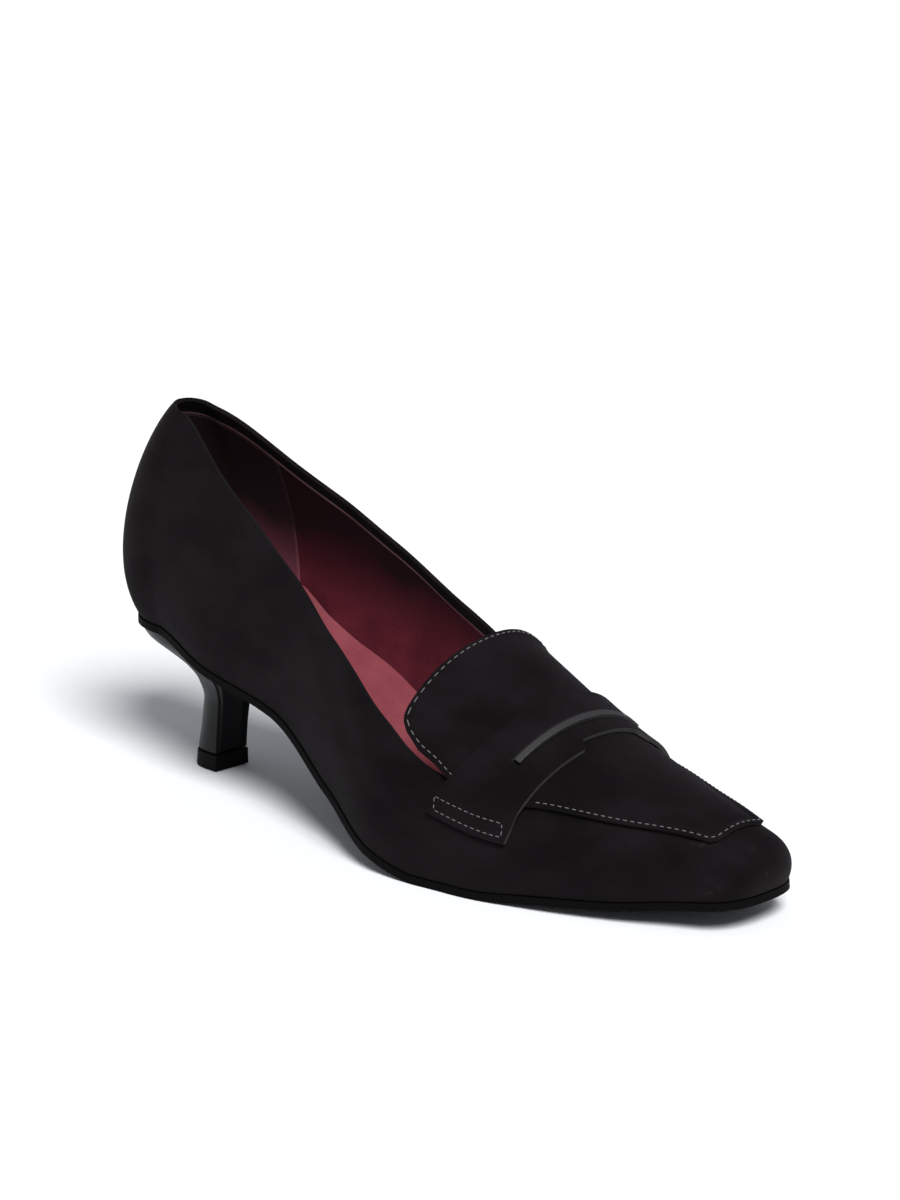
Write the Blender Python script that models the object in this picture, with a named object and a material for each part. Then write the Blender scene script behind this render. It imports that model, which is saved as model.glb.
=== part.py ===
"""Black suede loafer pump with a kitten heel, for the right foot, as separate pieces.

X runs to the toe, Y to the inner side of the foot and Z up, in metres.
The floor is Z = 0 and the origin is the middle of the heel tip.
Every piece is laid on one last: ribs that climb from the feather edge, where
upper and sole meet, to the crest that runs over heel, instep and toe.
"""
import math
from collections import namedtuple

import bmesh
import bpy
from mathutils import Vector

# Sizes of the last
SHOE_LENGTH = 0.252
BALL_WIDTH = 0.075
SEAT_HEIGHT = 0.0449        # floor to the outsole's underside at the back
TOE_SPRING = 0.0075         # floor to the outsole's underside at the toe's tip
INSTEP_DEPTH = 0.080        # feather edge to crest at the instep
QUARTER_HEIGHT = 0.0665     # feather edge to topline at the back
BACK_RADIUS = 0.0264        # plan curve round the heel
BACK_TUCK = 0.0083          # feather edge inside that curve at the back
BACK_SWELL = 0.0074         # fullest line beyond that curve at the back
TOE_RADIUS = 0.0109         # plan curve round the toe
TOE_TUCK = 0.0025

# Leather, board and sole thicknesses, and the gap left between pieces
UPPER_WALL = 0.0019
APRON_THICKNESS = 0.0012
STRAP_THICKNESS = 0.0014
OUTSOLE_THICKNESS = 0.0022
INSOLE_THICKNESS = 0.0030
FIT_GAP = 0.0003
SOLE_EDGE_PROUD = 0.0004    # outsole beyond the upper's feather edge
INSOLE_EDGE_GAP = 0.0009    # insole inside the upper's wall

# Apron, tongue and saddle strap
APRON_FRONT_SETBACK = 0.0100    # apron's front edge behind the toe's tip
APRON_CORNER = 0.0012           # how far its front corners are rounded back
TONGUE_REAR = 0.1537            # tongue's rear edge from the back of the shoe
TONGUE_SWEEP = 0.0053           # how far that edge sweeps back to its corners
TONGUE_CORNER = 0.0080          # how far its corners are rounded forward
STRAP_REAR = 0.1760             # strap's rear edge at the crest, from the back
STRAP_LENGTH = 0.0190           # rear edge to front edge at the crest
STRAP_REAR_SWEEP = 0.0133       # how far the tabs sweep back at the rear edge
STRAP_FRONT_SWEEP = 0.0065
NOTCH_DEPTH = 0.0034            # step back of the front edge over the crest
SLOT_FROM_REAR = 0.0080         # slot's rear lip from the strap's rear edge
SLOT_WIDTH = 0.0027
SLOT_SWEEP = 0.0022
SLOT_ARCH = 0.0009              # how far the strap's rear part rises to the slot
SLOT_STRIP_THICKNESS = 0.0019
SLOT_STRIP_PROUD = 0.0002       # strip above the strap behind it

# Heel
HEEL_TIP_SETBACK = 0.0340       # middle of the heel tip from the back of the shoe
HEEL_WIDTH = 0.0375             # heel block at the seat
HEEL_DEPTH = 0.0372             # breast to back at the seat
BREAST_LEAN = 0.0058            # breast at the seat ahead of the breast at the tip
TOP_LIFT_HEIGHT = 0.0052
TOP_LIFT_STEP = 0.0003          # top lift beyond the wrapped heel

# Shape numbers: powers of the curves and shares of a rib or half strap
TONGUE_BOW = 1.8
TONGUE_CORNER_TURN = 50
APRON_CORNER_TURN = 8
STRAP_REAR_BOW = 2.3
STRAP_FRONT_BOW = 1.6
SLOT_BOW = 2.0
SLOT_LINE_FOLLOW = 0.45     # how far the slot's line follows the rear edge past its ends
SLOT_ARCH_END = 0.63
STRAP_STEP_FROM = 0.03      # where the strap leaves the apron, below the apron's edge
STRAP_STEP_RUN = 0.09
STRIP_END_GAP = 0.02
BACK_ROUNDING = 2.1
TOE_ROUNDING = 2.62
BACK_HIP = 0.30
BACK_CROWN = 0.48

# Mesh steps
FAN_RIBS = 9
UPPER_TIERS = 12
SOLE_STRIPS = 6
HEEL_SIDES = 22
HEEL_LAYERS = 13
STATION_RUNS = ((0.63, 17), (0.70, 7), (0.735, 3), (1.0, 9))    # up to a share, ribs
APRON_ROWS = 22
APRON_COLUMNS = 16
STRAP_ROWS_BEHIND = 5       # strap's rear edge to the slot
STRAP_ROWS_AHEAD = 3
BISECTIONS = 24
TOPLINE_STEPS = 40          # looks up a rib before the topline is closed in on
TAPER_TURNS = 5             # rounds of working out a rounded end's reach
SEAM_WELD = 2e-5            # points this near each other are joined at the upper's crest
SHARP_ANGLE = 40

# How far to look to either side for a slope
TAPER_LOOK = 0.006
FALL_LOOK = 0.001
STATION_LOOK = 0.0005
TURN_LOOK = 0.01
CLIMB_LOOK = 0.002

# The last, a row for each section from heel to toe.
# at and sway: where it is along the shoe, and how far its middle lies to the inner side.
# outer, inner, tucks, swell and sway are shares of BALL_WIDTH, depth of INSTEP_DEPTH;
# hip and crown are where a rib is fullest and how broad its top is.
Section = namedtuple("Section", "at outer inner outer_tuck inner_tuck swell sway depth hip crown")
LAST = (
    Section(0.115, 0.329, 0.332, 0.085, 0.084, 0.071, 0.004, 0.869, 0.33, 0.35),
    Section(0.220, 0.364, 0.350, 0.054, 0.066, 0.050, -0.003, 0.910, 0.33, 0.48),
    Section(0.340, 0.371, 0.363, 0.044, 0.052, 0.058, 0.003, 0.950, 0.38, 0.53),
    Section(0.460, 0.431, 0.385, 0.030, 0.048, 0.079, -0.007, 1.008, 0.44, 0.63),
    Section(0.570, 0.511, 0.439, 0.021, 0.036, 0.075, -0.017, 0.845, 0.47, 0.63),
    Section(0.670, 0.510, 0.475, 0.028, 0.033, 0.058, 0.008, 0.642, 0.475, 0.61),
    Section(0.770, 0.456, 0.454, 0.036, 0.033, 0.045, 0.020, 0.446, 0.50, 0.62),
    Section(0.860, 0.363, 0.379, 0.035, 0.031, 0.040, 0.035, 0.329, 0.50, 0.63),
    Section(0.957, 0.238, 0.274, 0.039, 0.022, 0.027, 0.052, 0.217, 0.475, 0.635),
)

# Underside of the outsole: shares of SEAT_HEIGHT and of TOE_SPRING
Tread = namedtuple("Tread", "at rise spring")
TREAD = (
    Tread(0.000, 1.000, 0.00), Tread(0.115, 0.971, 0.00), Tread(0.220, 0.823, 0.00),
    Tread(0.340, 0.681, 0.00), Tread(0.460, 0.334, 0.00), Tread(0.560, 0.084, 0.00),
    Tread(0.630, 0.000, 0.00), Tread(0.700, 0.000, 0.00), Tread(0.780, 0.000, 0.24),
    Tread(0.860, 0.000, 0.44), Tread(0.930, 0.000, 0.77), Tread(1.000, 0.000, 1.00),
)

# Topline above the feather edge, as shares of QUARTER_HEIGHT
Topline = namedtuple("Topline", "at height")
TOPLINE = (
    Topline(0.03, 1.015), Topline(0.10, 0.970), Topline(0.19, 0.881), Topline(0.28, 0.770),
    Topline(0.36, 0.676), Topline(0.43, 0.666), Topline(0.50, 0.655), Topline(0.57, 0.588),
    Topline(0.61, 0.517), Topline(0.64, 0.469), Topline(0.665, 0.445), Topline(0.69, 0.640),
    Topline(0.71, 0.900),
)

# Half widths of apron and tongue from the crest, as shares of BALL_WIDTH
ApronRow = namedtuple("ApronRow", "at outer inner")
APRON = (
    ApronRow(0.590, 0.436, 0.425), ApronRow(0.640, 0.434, 0.430), ApronRow(0.670, 0.440, 0.425),
    ApronRow(0.715, 0.426, 0.400), ApronRow(0.766, 0.362, 0.360), ApronRow(0.843, 0.271, 0.272),
    ApronRow(0.923, 0.170, 0.168), ApronRow(0.962, 0.127, 0.125),
)

# Heel block: at is a share of the way up, width of HEEL_WIDTH, depth of HEEL_DEPTH,
# lean of BREAST_LEAN, and rounding is how square the back of the section is
HeelRow = namedtuple("HeelRow", "at width depth lean rounding")
HEEL = (
    HeelRow(0.00, 0.345, 0.325, 0.00, 3.0), HeelRow(0.12, 0.340, 0.312, 0.02, 3.0),
    HeelRow(0.30, 0.340, 0.288, 0.13, 2.8), HeelRow(0.50, 0.355, 0.285, 0.33, 2.6),
    HeelRow(0.64, 0.435, 0.365, 0.52, 2.6), HeelRow(0.75, 0.590, 0.515, 0.66, 2.7),
    HeelRow(0.84, 0.790, 0.720, 0.79, 2.8), HeelRow(0.92, 0.955, 0.910, 0.91, 2.9),
    HeelRow(1.00, 1.000, 1.000, 1.00, 3.0),
)

# Where the strap's columns stand between crest (0) and tab end (1)
STRAP_COLUMNS = (0.0, 0.08, 0.14, 0.20, 0.34, 0.40, 0.46, 0.53, 0.63, 0.70, 0.75, 0.79, 0.83, 0.88, 0.94, 1.0)
SLOT_END = 0.53
NOTCH_OUTER_END = 0.20
NOTCH_INNER_END = 0.40
NOTCH_RUN = 0.06            # share of the half strap over which the notch deepens
TAB_END_CLIMB = 0.255       # how far up a rib the tabs reach down to

BACK_X = -HEEL_TIP_SETBACK
BACK_CENTRE = BACK_X + BACK_RADIUS
TOE_CENTRE = BACK_X + SHOE_LENGTH - TOE_RADIUS
OVER_APRON = FIT_GAP + APRON_THICKNESS + FIT_GAP

Rib = namedtuple("Rib", "side centre turn")     # side is -1 for outer, 1 for inner


def smooth(rows, column, share):
    """Read a column between its rows, on a curve that never overshoots them."""
    at = [row.at for row in rows]
    value = [getattr(row, column) for row in rows]
    share = min(max(share, at[0]), at[-1])
    k = max(i for i in range(len(at) - 1) if share >= at[i])
    step = [b - a for a, b in zip(at, at[1:])]
    slope = [(b - a) / h for a, b, h in zip(value, value[1:], step)]

    def tangent(i):
        if i in (0, len(at) - 1):
            return slope[0] if i == 0 else slope[-1]
        before, after = slope[i - 1], slope[i]
        return 2 * before * after / (before + after) if before * after > 0 else 0.0

    t = (share - at[k]) / step[k]
    return (
        (2 * t**3 - 3 * t**2 + 1) * value[k] + (t**3 - 2 * t**2 + t) * step[k] * tangent(k)
        + (3 * t**2 - 2 * t**3) * value[k + 1] + (t**3 - t**2) * step[k] * tangent(k + 1)
    )


def share_at(x):
    return (x - BACK_X) / SHOE_LENGTH


def last_size(column, x):
    return smooth(LAST, column, share_at(x)) * BALL_WIDTH


def tread_height(x):
    """Underside of the outsole."""
    share = share_at(x)
    return smooth(TREAD, "rise", share) * SEAT_HEIGHT + smooth(TREAD, "spring", share) * TOE_SPRING


def feather_height(x):
    """Top of the outsole, with the gap under the upper."""
    return tread_height(x) + OUTSOLE_THICKNESS + FIT_GAP


def crest_height(x):
    return feather_height(x) + smooth(LAST, "depth", share_at(x)) * INSTEP_DEPTH


def topline_height(x):
    return feather_height(x) + smooth(TOPLINE, "height", share_at(x)) * QUARTER_HEIGHT


def round_reach(turn, ahead, aside, rounding, taper=0.0):
    """Distance from a centre to a rounded end that reaches ahead and aside of it.

    taper is how fast the sides go on closing in along it.
    """
    forward = abs(math.sin(turn)) / ahead
    sideways = abs(math.cos(turn)) / aside
    reach = 0.0
    for _ in range(TAPER_TURNS):
        narrowed = 1 - taper * ahead / aside * min(reach * forward, 1.0)
        reach = (forward**rounding + (sideways / narrowed) ** rounding) ** (-1 / rounding)
    return reach


def reaches(rib):
    """How far the feather edge and the widest line lie from the crest."""
    width, tuck = ("outer", "outer_tuck") if rib.side < 0 else ("inner", "inner_tuck")
    aside = last_size(width, rib.centre)
    feather = aside - last_size(tuck, rib.centre)
    if rib.turn == 0:
        return feather, aside
    if rib.turn < 0:
        ahead, drawn_in, rounding, taper = BACK_RADIUS, BACK_TUCK, BACK_ROUNDING, 0.0
    else:
        ahead, drawn_in, rounding = TOE_RADIUS, TOE_TUCK, TOE_ROUNDING
        earlier = last_size(width, rib.centre - TAPER_LOOK)
        taper = (earlier - aside) / TAPER_LOOK
    return (
        round_reach(rib.turn, ahead - drawn_in, feather, rounding, taper),
        round_reach(rib.turn, ahead, aside, rounding, taper),
    )


def heading(rib):
    return Vector((math.sin(rib.turn), rib.side * math.cos(rib.turn), 0))


def last_point(rib, climb):
    """A point on the last: climb runs from 0 at the feather edge to 1 at the crest."""
    feather, widest = reaches(rib)
    share = share_at(rib.centre)
    back = -math.sin(rib.turn) if rib.turn < 0 else 0.0
    swell = last_size("swell", rib.centre) * (1 - back) + BACK_SWELL * back
    hip = smooth(LAST, "hip", share) * (1 - back) + BACK_HIP * back
    crown = smooth(LAST, "crown", share) * (1 - back) + BACK_CROWN * back
    low = feather_height(rib.centre + math.sin(rib.turn) * feather)
    high = crest_height(rib.centre)
    fall = (high - crest_height(rib.centre - FALL_LOOK)) / FALL_LOOK
    shoulder = widest * crown
    reach = (feather, widest + swell, shoulder, 0.0)
    height = (low, low + hip * (high - low), high + fall * math.sin(rib.turn) * shoulder, high)
    c = climb
    weight = ((1 - c) ** 3, 3 * c * (1 - c) ** 2, 3 * c * c * (1 - c), c**3)
    out = sum(w * r for w, r in zip(weight, reach))
    up = sum(w * h for w, h in zip(weight, height))
    return Vector((rib.centre, last_size("sway", rib.centre), up)) + heading(rib) * out


def lifted(rib, climb, lift):
    """A point that stands off the last's skin by lift."""
    low, high = max(climb - CLIMB_LOOK, 0.0), min(climb + CLIMB_LOOK, 1.0)
    up = last_point(rib, high) - last_point(rib, low)
    if rib.turn == 0:
        along = last_point(rib._replace(centre=rib.centre + STATION_LOOK), climb)
        along -= last_point(rib._replace(centre=rib.centre - STATION_LOOK), climb)
    else:
        along = last_point(rib._replace(turn=rib.turn + TURN_LOOK), climb)
        along -= last_point(rib._replace(turn=rib.turn - TURN_LOOK), climb)
    normal = along.cross(up).normalized()
    outward = heading(rib) * (1 - climb) + Vector((0, 0, climb))
    if normal.dot(outward) < 0:
        normal.negate()
    return last_point(rib, climb) + normal * lift


def climb_where(test, low, high):
    """The climb where test turns true, between two that bracket it."""
    for _ in range(BISECTIONS):
        middle = (low + high) / 2
        low, high = (low, middle) if test(middle) else (middle, high)
    return high


def climb_at_distance(rib, distance):
    """Where a rib, above its widest point, is this far from the crest."""
    base = Vector((rib.centre, last_size("sway", rib.centre), 0))

    def is_inside(climb):
        flat = last_point(rib, climb) - base
        return Vector((flat.x, flat.y)).length < distance

    return climb_where(is_inside, TAB_END_CLIMB, 1.0)


def rib_over(x, y):
    """The rib that passes over a point in plan, and the point's distance from the crest."""
    centre = min(x, TOE_CENTRE)
    across = y - last_size("sway", centre)
    side = -1 if across < 0 else 1
    turn = math.atan2(x - centre, abs(across)) if x > centre else 0.0
    return Rib(side, centre, turn), math.hypot(x - centre, across)


def top_point(x, y, lift):
    rib, distance = rib_over(x, y)
    return lifted(rib, climb_at_distance(rib, max(distance, 1e-6)), lift)


def station_centres():
    """Where the ribs between the two rounded ends stand, closest under tongue and strap."""
    centres, start = [BACK_CENTRE], BACK_CENTRE
    for share, count in STATION_RUNS:
        end = min(BACK_X + share * SHOE_LENGTH, TOE_CENTRE)
        centres += [start + (end - start) * (k + 1) / count for k in range(count)]
        start = end
    return centres


def side_ribs(side):
    """Ribs of one side from the middle of the back to the tip of the toe."""
    quarter = math.pi / 2
    ribs = [Rib(side, BACK_CENTRE, -quarter * (1 - k / FAN_RIBS)) for k in range(FAN_RIBS)]
    ribs += [Rib(side, centre, 0.0) for centre in station_centres()]
    return ribs + [Rib(side, TOE_CENTRE, quarter * (k + 1) / FAN_RIBS) for k in range(FAN_RIBS)]


def top_climb(rib):
    """Where a rib of the upper ends: at the topline, or at the crest over the vamp."""

    def is_over(climb):
        point = last_point(rib, climb)
        return point.z > topline_height(point.x)

    if rib.turn > 0:
        return 1.0
    for k in range(1, TOPLINE_STEPS + 1):
        if is_over(k / TOPLINE_STEPS):
            return climb_where(is_over, (k - 1) / TOPLINE_STEPS, k / TOPLINE_STEPS)
    return 1.0


def add_grid(mesh, rows, closed=False, keep=None):
    """Join rows of points with faces, whose outer side is on the left of the rows' order."""
    verts = [[mesh.verts.new(point) for point in row] for row in rows]
    count = len(rows) if closed else len(rows) - 1
    for i in range(count):
        near, far = verts[i], verts[(i + 1) % len(rows)]
        for j in range(len(near) - 1):
            if keep is None or keep(i, j):
                mesh.faces.new((near[j], far[j], far[j + 1], near[j + 1]))
    return verts


def finish(name, mesh, material, weld=1e-6):
    """Turn a mesh in progress into a named object with its material."""
    bmesh.ops.remove_doubles(mesh, verts=mesh.verts[:], dist=weld)
    loose = [vert for vert in mesh.verts if not vert.link_faces]
    bmesh.ops.delete(mesh, geom=loose, context="VERTS")
    data = bpy.data.meshes.new(name)
    mesh.to_mesh(data)
    mesh.free()
    data.materials.append(material)
    data.shade_smooth()
    data.set_sharp_from_angle(angle=math.radians(SHARP_ANGLE))
    piece = bpy.data.objects.new(name, data)
    bpy.context.scene.collection.objects.link(piece)
    return piece


def thicken(piece, thickness, offset):
    """Give a sheet its thickness: offset 1 grows outwards and -1 inwards."""
    solid = piece.modifiers.new("Thickness", "SOLIDIFY")
    solid.thickness = thickness
    solid.offset = offset
    solid.use_even_offset = False
    solid.use_rim = True


def make_material(name, colour, roughness):
    material = bpy.data.materials.new(name)
    material.use_nodes = True
    shader = material.node_tree.nodes["Principled BSDF"]
    shader.inputs["Base Color"].default_value = (*colour, 1)
    shader.inputs["Roughness"].default_value = roughness
    shader.inputs["Metallic"].default_value = 0.0
    material.diffuse_color = (*colour, 1)
    return material


def build_upper(material):
    """Vamp and quarters: one shell, open at the collar and along the feather edge."""
    outer, inner = side_ribs(-1), side_ribs(1)
    loop = outer + inner[-2:0:-1]
    rows = []
    for rib in loop:
        top = top_climb(rib)
        rows.append([last_point(rib, top * k / UPPER_TIERS) for k in range(UPPER_TIERS + 1)])
    mesh = bmesh.new()
    add_grid(mesh, rows, closed=True)
    piece = finish("upper", mesh, material, weld=SEAM_WELD)
    thicken(piece, UPPER_WALL, -1)


def sole_rows(grow, lift):
    """Rows across the foot, inside the feather edge moved outwards by grow."""
    rows = []
    for outer, inner in zip(side_ribs(-1), side_ribs(1)):
        ends = []
        for rib in (outer, inner):
            base = Vector((rib.centre, last_size("sway", rib.centre), 0))
            ends.append(base + heading(rib) * (reaches(rib)[0] + grow))
        row = [ends[0].lerp(ends[1], k / SOLE_STRIPS) for k in range(SOLE_STRIPS + 1)]
        for point in row:
            point.z = tread_height(point.x) + lift
        rows.append(row)
    return rows


def build_sole_layer(name, grow, lift, thickness, material):
    """A layer that follows the tread: outsole or insole."""
    mesh = bmesh.new()
    add_grid(mesh, sole_rows(grow, lift))
    bmesh.ops.remove_doubles(mesh, verts=mesh.verts[:], dist=1e-6)
    bottom = mesh.faces[:]
    raised = bmesh.ops.extrude_face_region(mesh, geom=bottom)["geom"]
    for item in raised:
        if isinstance(item, bmesh.types.BMVert):
            item.co.z += thickness
    bmesh.ops.recalc_face_normals(mesh, faces=mesh.faces[:])
    return finish(name, mesh, material)


def heel_outline(share, grow=0.0):
    """Flat-fronted section of the heel, from one breast corner round the back to the other."""
    half = smooth(HEEL, "width", share) * HEEL_WIDTH / 2 + grow
    depth = smooth(HEEL, "depth", share) * HEEL_DEPTH + 2 * grow
    rounding = smooth(HEEL, "rounding", share)
    tip_depth = HEEL[0].depth * HEEL_DEPTH
    breast = tip_depth / 2 + smooth(HEEL, "lean", share) * BREAST_LEAN + grow
    points = []
    for k in range(HEEL_SIDES + 1):
        angle = math.pi * k / HEEL_SIDES
        across = math.copysign(abs(math.cos(angle)) ** (2 / rounding), -math.cos(angle))
        points.append((breast - depth * math.sin(angle) ** (2 / rounding), half * across))
    return points


def build_heel_solid(name, shares, heights, grow, material):
    """Skin the heel between some of its sections; heights gives Z for a share and an X."""
    mesh = bmesh.new()
    rings = []
    for share in shares:
        ring = [mesh.verts.new((x, y, heights(share, x))) for x, y in heel_outline(share, grow)]
        rings.append(ring)
    for low, high in zip(rings, rings[1:]):
        for k in range(HEEL_SIDES):
            mesh.faces.new((low[k], low[k + 1], high[k + 1], high[k]))
        mesh.faces.new((low[-1], low[0], high[0], high[-1]))
    for ring in (rings[0], rings[-1]):
        half = HEEL_SIDES // 2
        for k in range(half - 1):
            mesh.faces.new((ring[k], ring[k + 1], ring[-k - 2], ring[-k - 1]))
        mesh.faces.new((ring[half - 1], ring[half], ring[half + 1]))
    bmesh.ops.recalc_face_normals(mesh, faces=mesh.faces[:])
    return finish(name, mesh, material)


def build_heel(wrap, rubber):
    """Kitten heel from its top lift to the seat under the outsole."""

    def block_height(share, x):
        seat = tread_height(x) - FIT_GAP
        foot = TOP_LIFT_HEIGHT + FIT_GAP
        return foot + (seat - foot) * (share - lift_share) / (1 - lift_share)

    def lift_height(share, x):
        return share / lift_share * TOP_LIFT_HEIGHT

    lift_share = TOP_LIFT_HEIGHT / SEAT_HEIGHT
    rise = (1 - lift_share) / HEEL_LAYERS
    shares = [lift_share + rise * k for k in range(HEEL_LAYERS + 1)]
    build_heel_solid("heel", shares, block_height, 0.0, wrap)
    build_heel_solid("top_lift", [0.0, lift_share], lift_height, TOP_LIFT_STEP, rubber)


def apron_half(side, x):
    return smooth(APRON, "outer" if side < 0 else "inner", share_at(x)) * BALL_WIDTH


def build_apron(material):
    """Apron and tongue in one sheet, on the vamp in front and free over the throat."""
    half = APRON_COLUMNS / 2
    columns = [math.sin(math.pi / 2 * (k / half - 1)) for k in range(APRON_COLUMNS + 1)]
    front_line = BACK_X + SHOE_LENGTH - APRON_FRONT_SETBACK
    rows = []
    for i in range(APRON_ROWS + 1):
        row = []
        for v in columns:
            rear = BACK_X + TONGUE_REAR - TONGUE_SWEEP * abs(v) ** TONGUE_BOW
            rear += TONGUE_CORNER * abs(v) ** TONGUE_CORNER_TURN
            front = front_line - APRON_CORNER * abs(v) ** APRON_CORNER_TURN
            x = rear + (front - rear) * i / APRON_ROWS
            sway = last_size("sway", min(x, TOE_CENTRE))
            y = sway + v * apron_half(-1 if v < 0 else 1, x)
            row.append(top_point(x, y, FIT_GAP))
        rows.append(row)
    mesh = bmesh.new()
    add_grid(mesh, rows)
    piece = finish("apron", mesh, material)
    thicken(piece, APRON_THICKNESS, 1)


def strap_edge(v, start, sweep, power):
    return start - sweep * abs(v) ** power


def strap_lines(v):
    """X of the strap's rear edge, the slot's two lips and its front edge at a column."""
    rear_line = BACK_X + STRAP_REAR
    rear = strap_edge(v, rear_line, STRAP_REAR_SWEEP, STRAP_REAR_BOW)
    slot = strap_edge(v / SLOT_END, rear_line + SLOT_FROM_REAR, SLOT_SWEEP, SLOT_BOW)
    if abs(v) > SLOT_END:
        beyond = (abs(v) - SLOT_END) / (1 - SLOT_END)
        slot -= STRAP_REAR_SWEEP * SLOT_LINE_FOLLOW * beyond
    notch_end = NOTCH_OUTER_END if v < 0 else NOTCH_INNER_END
    notch = NOTCH_DEPTH * min(max((notch_end - abs(v)) / NOTCH_RUN, 0.0), 1.0)
    front = strap_edge(v, rear_line + STRAP_LENGTH, STRAP_FRONT_SWEEP, STRAP_FRONT_BOW) - notch
    return rear, slot, slot + SLOT_WIDTH, front


def strap_lift(rib, climb):
    """How high the strap lies: over the apron's thickness, and down on the vamp beside it."""
    edge = climb_at_distance(rib, apron_half(rib.side, rib.centre))
    down = min(max((edge - STRAP_STEP_FROM - climb) / STRAP_STEP_RUN, 0.0), 1.0)
    down = down * down * (3 - 2 * down)
    return FIT_GAP + (OVER_APRON - FIT_GAP) * (1 - down)


def strap_point(v, x, arch, above=0.0):
    """A point above the strap's underside; arch is its share of the rise towards the slot."""
    rib = Rib(-1 if v < 0 else 1, x, 0.0)
    climb = 1 - (1 - TAB_END_CLIMB) * abs(v)
    swell = SLOT_ARCH * arch * max(0.0, 1 - (v / SLOT_ARCH_END) ** 2)
    return lifted(rib, climb, strap_lift(rib, climb) + swell + above)


def build_strap(suede, binding):
    """Saddle strap with its slot, and the bound strip that stands on the slot's rear lip."""
    columns = [-v for v in STRAP_COLUMNS[:0:-1]] + list(STRAP_COLUMNS)
    behind, ahead = STRAP_ROWS_BEHIND, STRAP_ROWS_AHEAD
    table = []
    for v in columns:
        rear, lip, slot_front, front = strap_lines(v)
        line = [(rear + (lip - rear) * k / behind, k / behind) for k in range(behind + 1)]
        line += [(slot_front + (front - slot_front) * k / ahead, 0.0) for k in range(ahead + 1)]
        table.append([strap_point(v, x, arch) for x, arch in line])
    rows = [list(row) for row in zip(*table)]

    def is_leather(i, j):
        middle = (columns[j] + columns[j + 1]) / 2
        return i != behind or abs(middle) > SLOT_END

    mesh = bmesh.new()
    add_grid(mesh, rows, keep=is_leather)
    piece = finish("saddle_strap", mesh, suede)
    thicken(piece, STRAP_THICKNESS, 1)

    strip_columns = [v for v in columns if abs(v) <= SLOT_END]
    strip_columns[0] += STRIP_END_GAP
    strip_columns[-1] -= STRIP_END_GAP
    top = STRAP_THICKNESS + SLOT_STRIP_PROUD
    corners = ((FIT_GAP, 0.0, 0.0), (FIT_GAP + SLOT_STRIP_THICKNESS, 0.0, 0.0),
               (FIT_GAP + SLOT_STRIP_THICKNESS, 1.0, top), (FIT_GAP, 1.0, top))
    strip = []
    for ahead_of_lip, arch, above in corners:
        lips = [(v, strap_lines(v)[1] + ahead_of_lip) for v in strip_columns]
        strip.append([strap_point(v, x, arch, above) for v, x in lips])
    mesh = bmesh.new()
    verts = add_grid(mesh, strip, closed=True)
    for end in (0, -1):
        mesh.faces.new([row[end] for row in verts])
    bmesh.ops.recalc_face_normals(mesh, faces=mesh.faces[:])
    finish("slot_strip", mesh, binding)


def clear_scene():
    for item in list(bpy.data.objects):
        bpy.data.objects.remove(item, do_unlink=True)


def build_shoe():
    suede = make_material("black_suede", (0.012, 0.010, 0.012), 0.95)
    sock = make_material("burgundy_leather", (0.20, 0.035, 0.055), 0.55)
    sole = make_material("black_sole", (0.012, 0.012, 0.013), 0.45)
    wrap = make_material("black_smooth_leather", (0.015, 0.016, 0.018), 0.30)
    rubber = make_material("black_rubber", (0.014, 0.014, 0.014), 0.60)
    binding = make_material("grey_binding", (0.060, 0.058, 0.062), 0.40)
    build_upper(suede)
    build_sole_layer("outsole", SOLE_EDGE_PROUD, 0.0, OUTSOLE_THICKNESS, sole)
    insole_lift = OUTSOLE_THICKNESS + FIT_GAP
    insole_edge = -UPPER_WALL - INSOLE_EDGE_GAP
    build_sole_layer("insole", insole_edge, insole_lift, INSOLE_THICKNESS, sock)
    build_heel(wrap, rubber)
    build_apron(suede)
    build_strap(suede, binding)


clear_scene()
build_shoe()
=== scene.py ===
# %% [markdown]
# # A kitten-heel loafer pump, dressed for its portrait
#
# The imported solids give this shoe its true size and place. Here each piece is made again on the same
# last, with many more points, so that the suede can roll over the topline, the seams can carry their
# stitches and the lining can show its cut edge. Nothing is moved: every piece stays on its solid.

# %% Load the frame
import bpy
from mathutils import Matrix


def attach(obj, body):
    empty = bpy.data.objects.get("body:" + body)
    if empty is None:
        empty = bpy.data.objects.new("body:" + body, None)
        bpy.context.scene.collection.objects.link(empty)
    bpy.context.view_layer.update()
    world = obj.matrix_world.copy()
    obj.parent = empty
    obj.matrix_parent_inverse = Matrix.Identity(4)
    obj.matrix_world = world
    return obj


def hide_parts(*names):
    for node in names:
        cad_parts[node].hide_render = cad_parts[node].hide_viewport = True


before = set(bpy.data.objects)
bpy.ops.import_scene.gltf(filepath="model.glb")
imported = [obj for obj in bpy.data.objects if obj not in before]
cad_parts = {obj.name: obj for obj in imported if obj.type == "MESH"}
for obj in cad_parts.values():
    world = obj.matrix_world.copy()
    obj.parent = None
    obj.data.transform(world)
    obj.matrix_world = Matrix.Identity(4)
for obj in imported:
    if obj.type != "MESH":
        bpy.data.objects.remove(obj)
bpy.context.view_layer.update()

# %% Bring in the tools
import math
from collections import namedtuple

import bmesh
import bpy
import numpy as np
from mathutils import Matrix, Vector

# %% [markdown]
# ## The camera
#
# A product photograph is taken from a few steps away with a long lens, so the shoe hardly tapers.
# The camera looks at a point inside the shoe from its outer side and in front, a little from above.
# A long lens far away was chosen over a wide one nearby, because it keeps heel and toe in proportion.

# %% Stand the camera
VIEW_AZIMUTH = 45.10
VIEW_ELEVATION = 14.985
VIEW_ROLL = -0.074
VIEW_DISTANCE = 1.1196
VIEW_TARGET = Vector((0.1008, 0.0, 0.0709))
FRAME_WIDTH = 900 / 3509.4      # width of the picture at the target, in metres
SENSOR = 36.0


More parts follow.
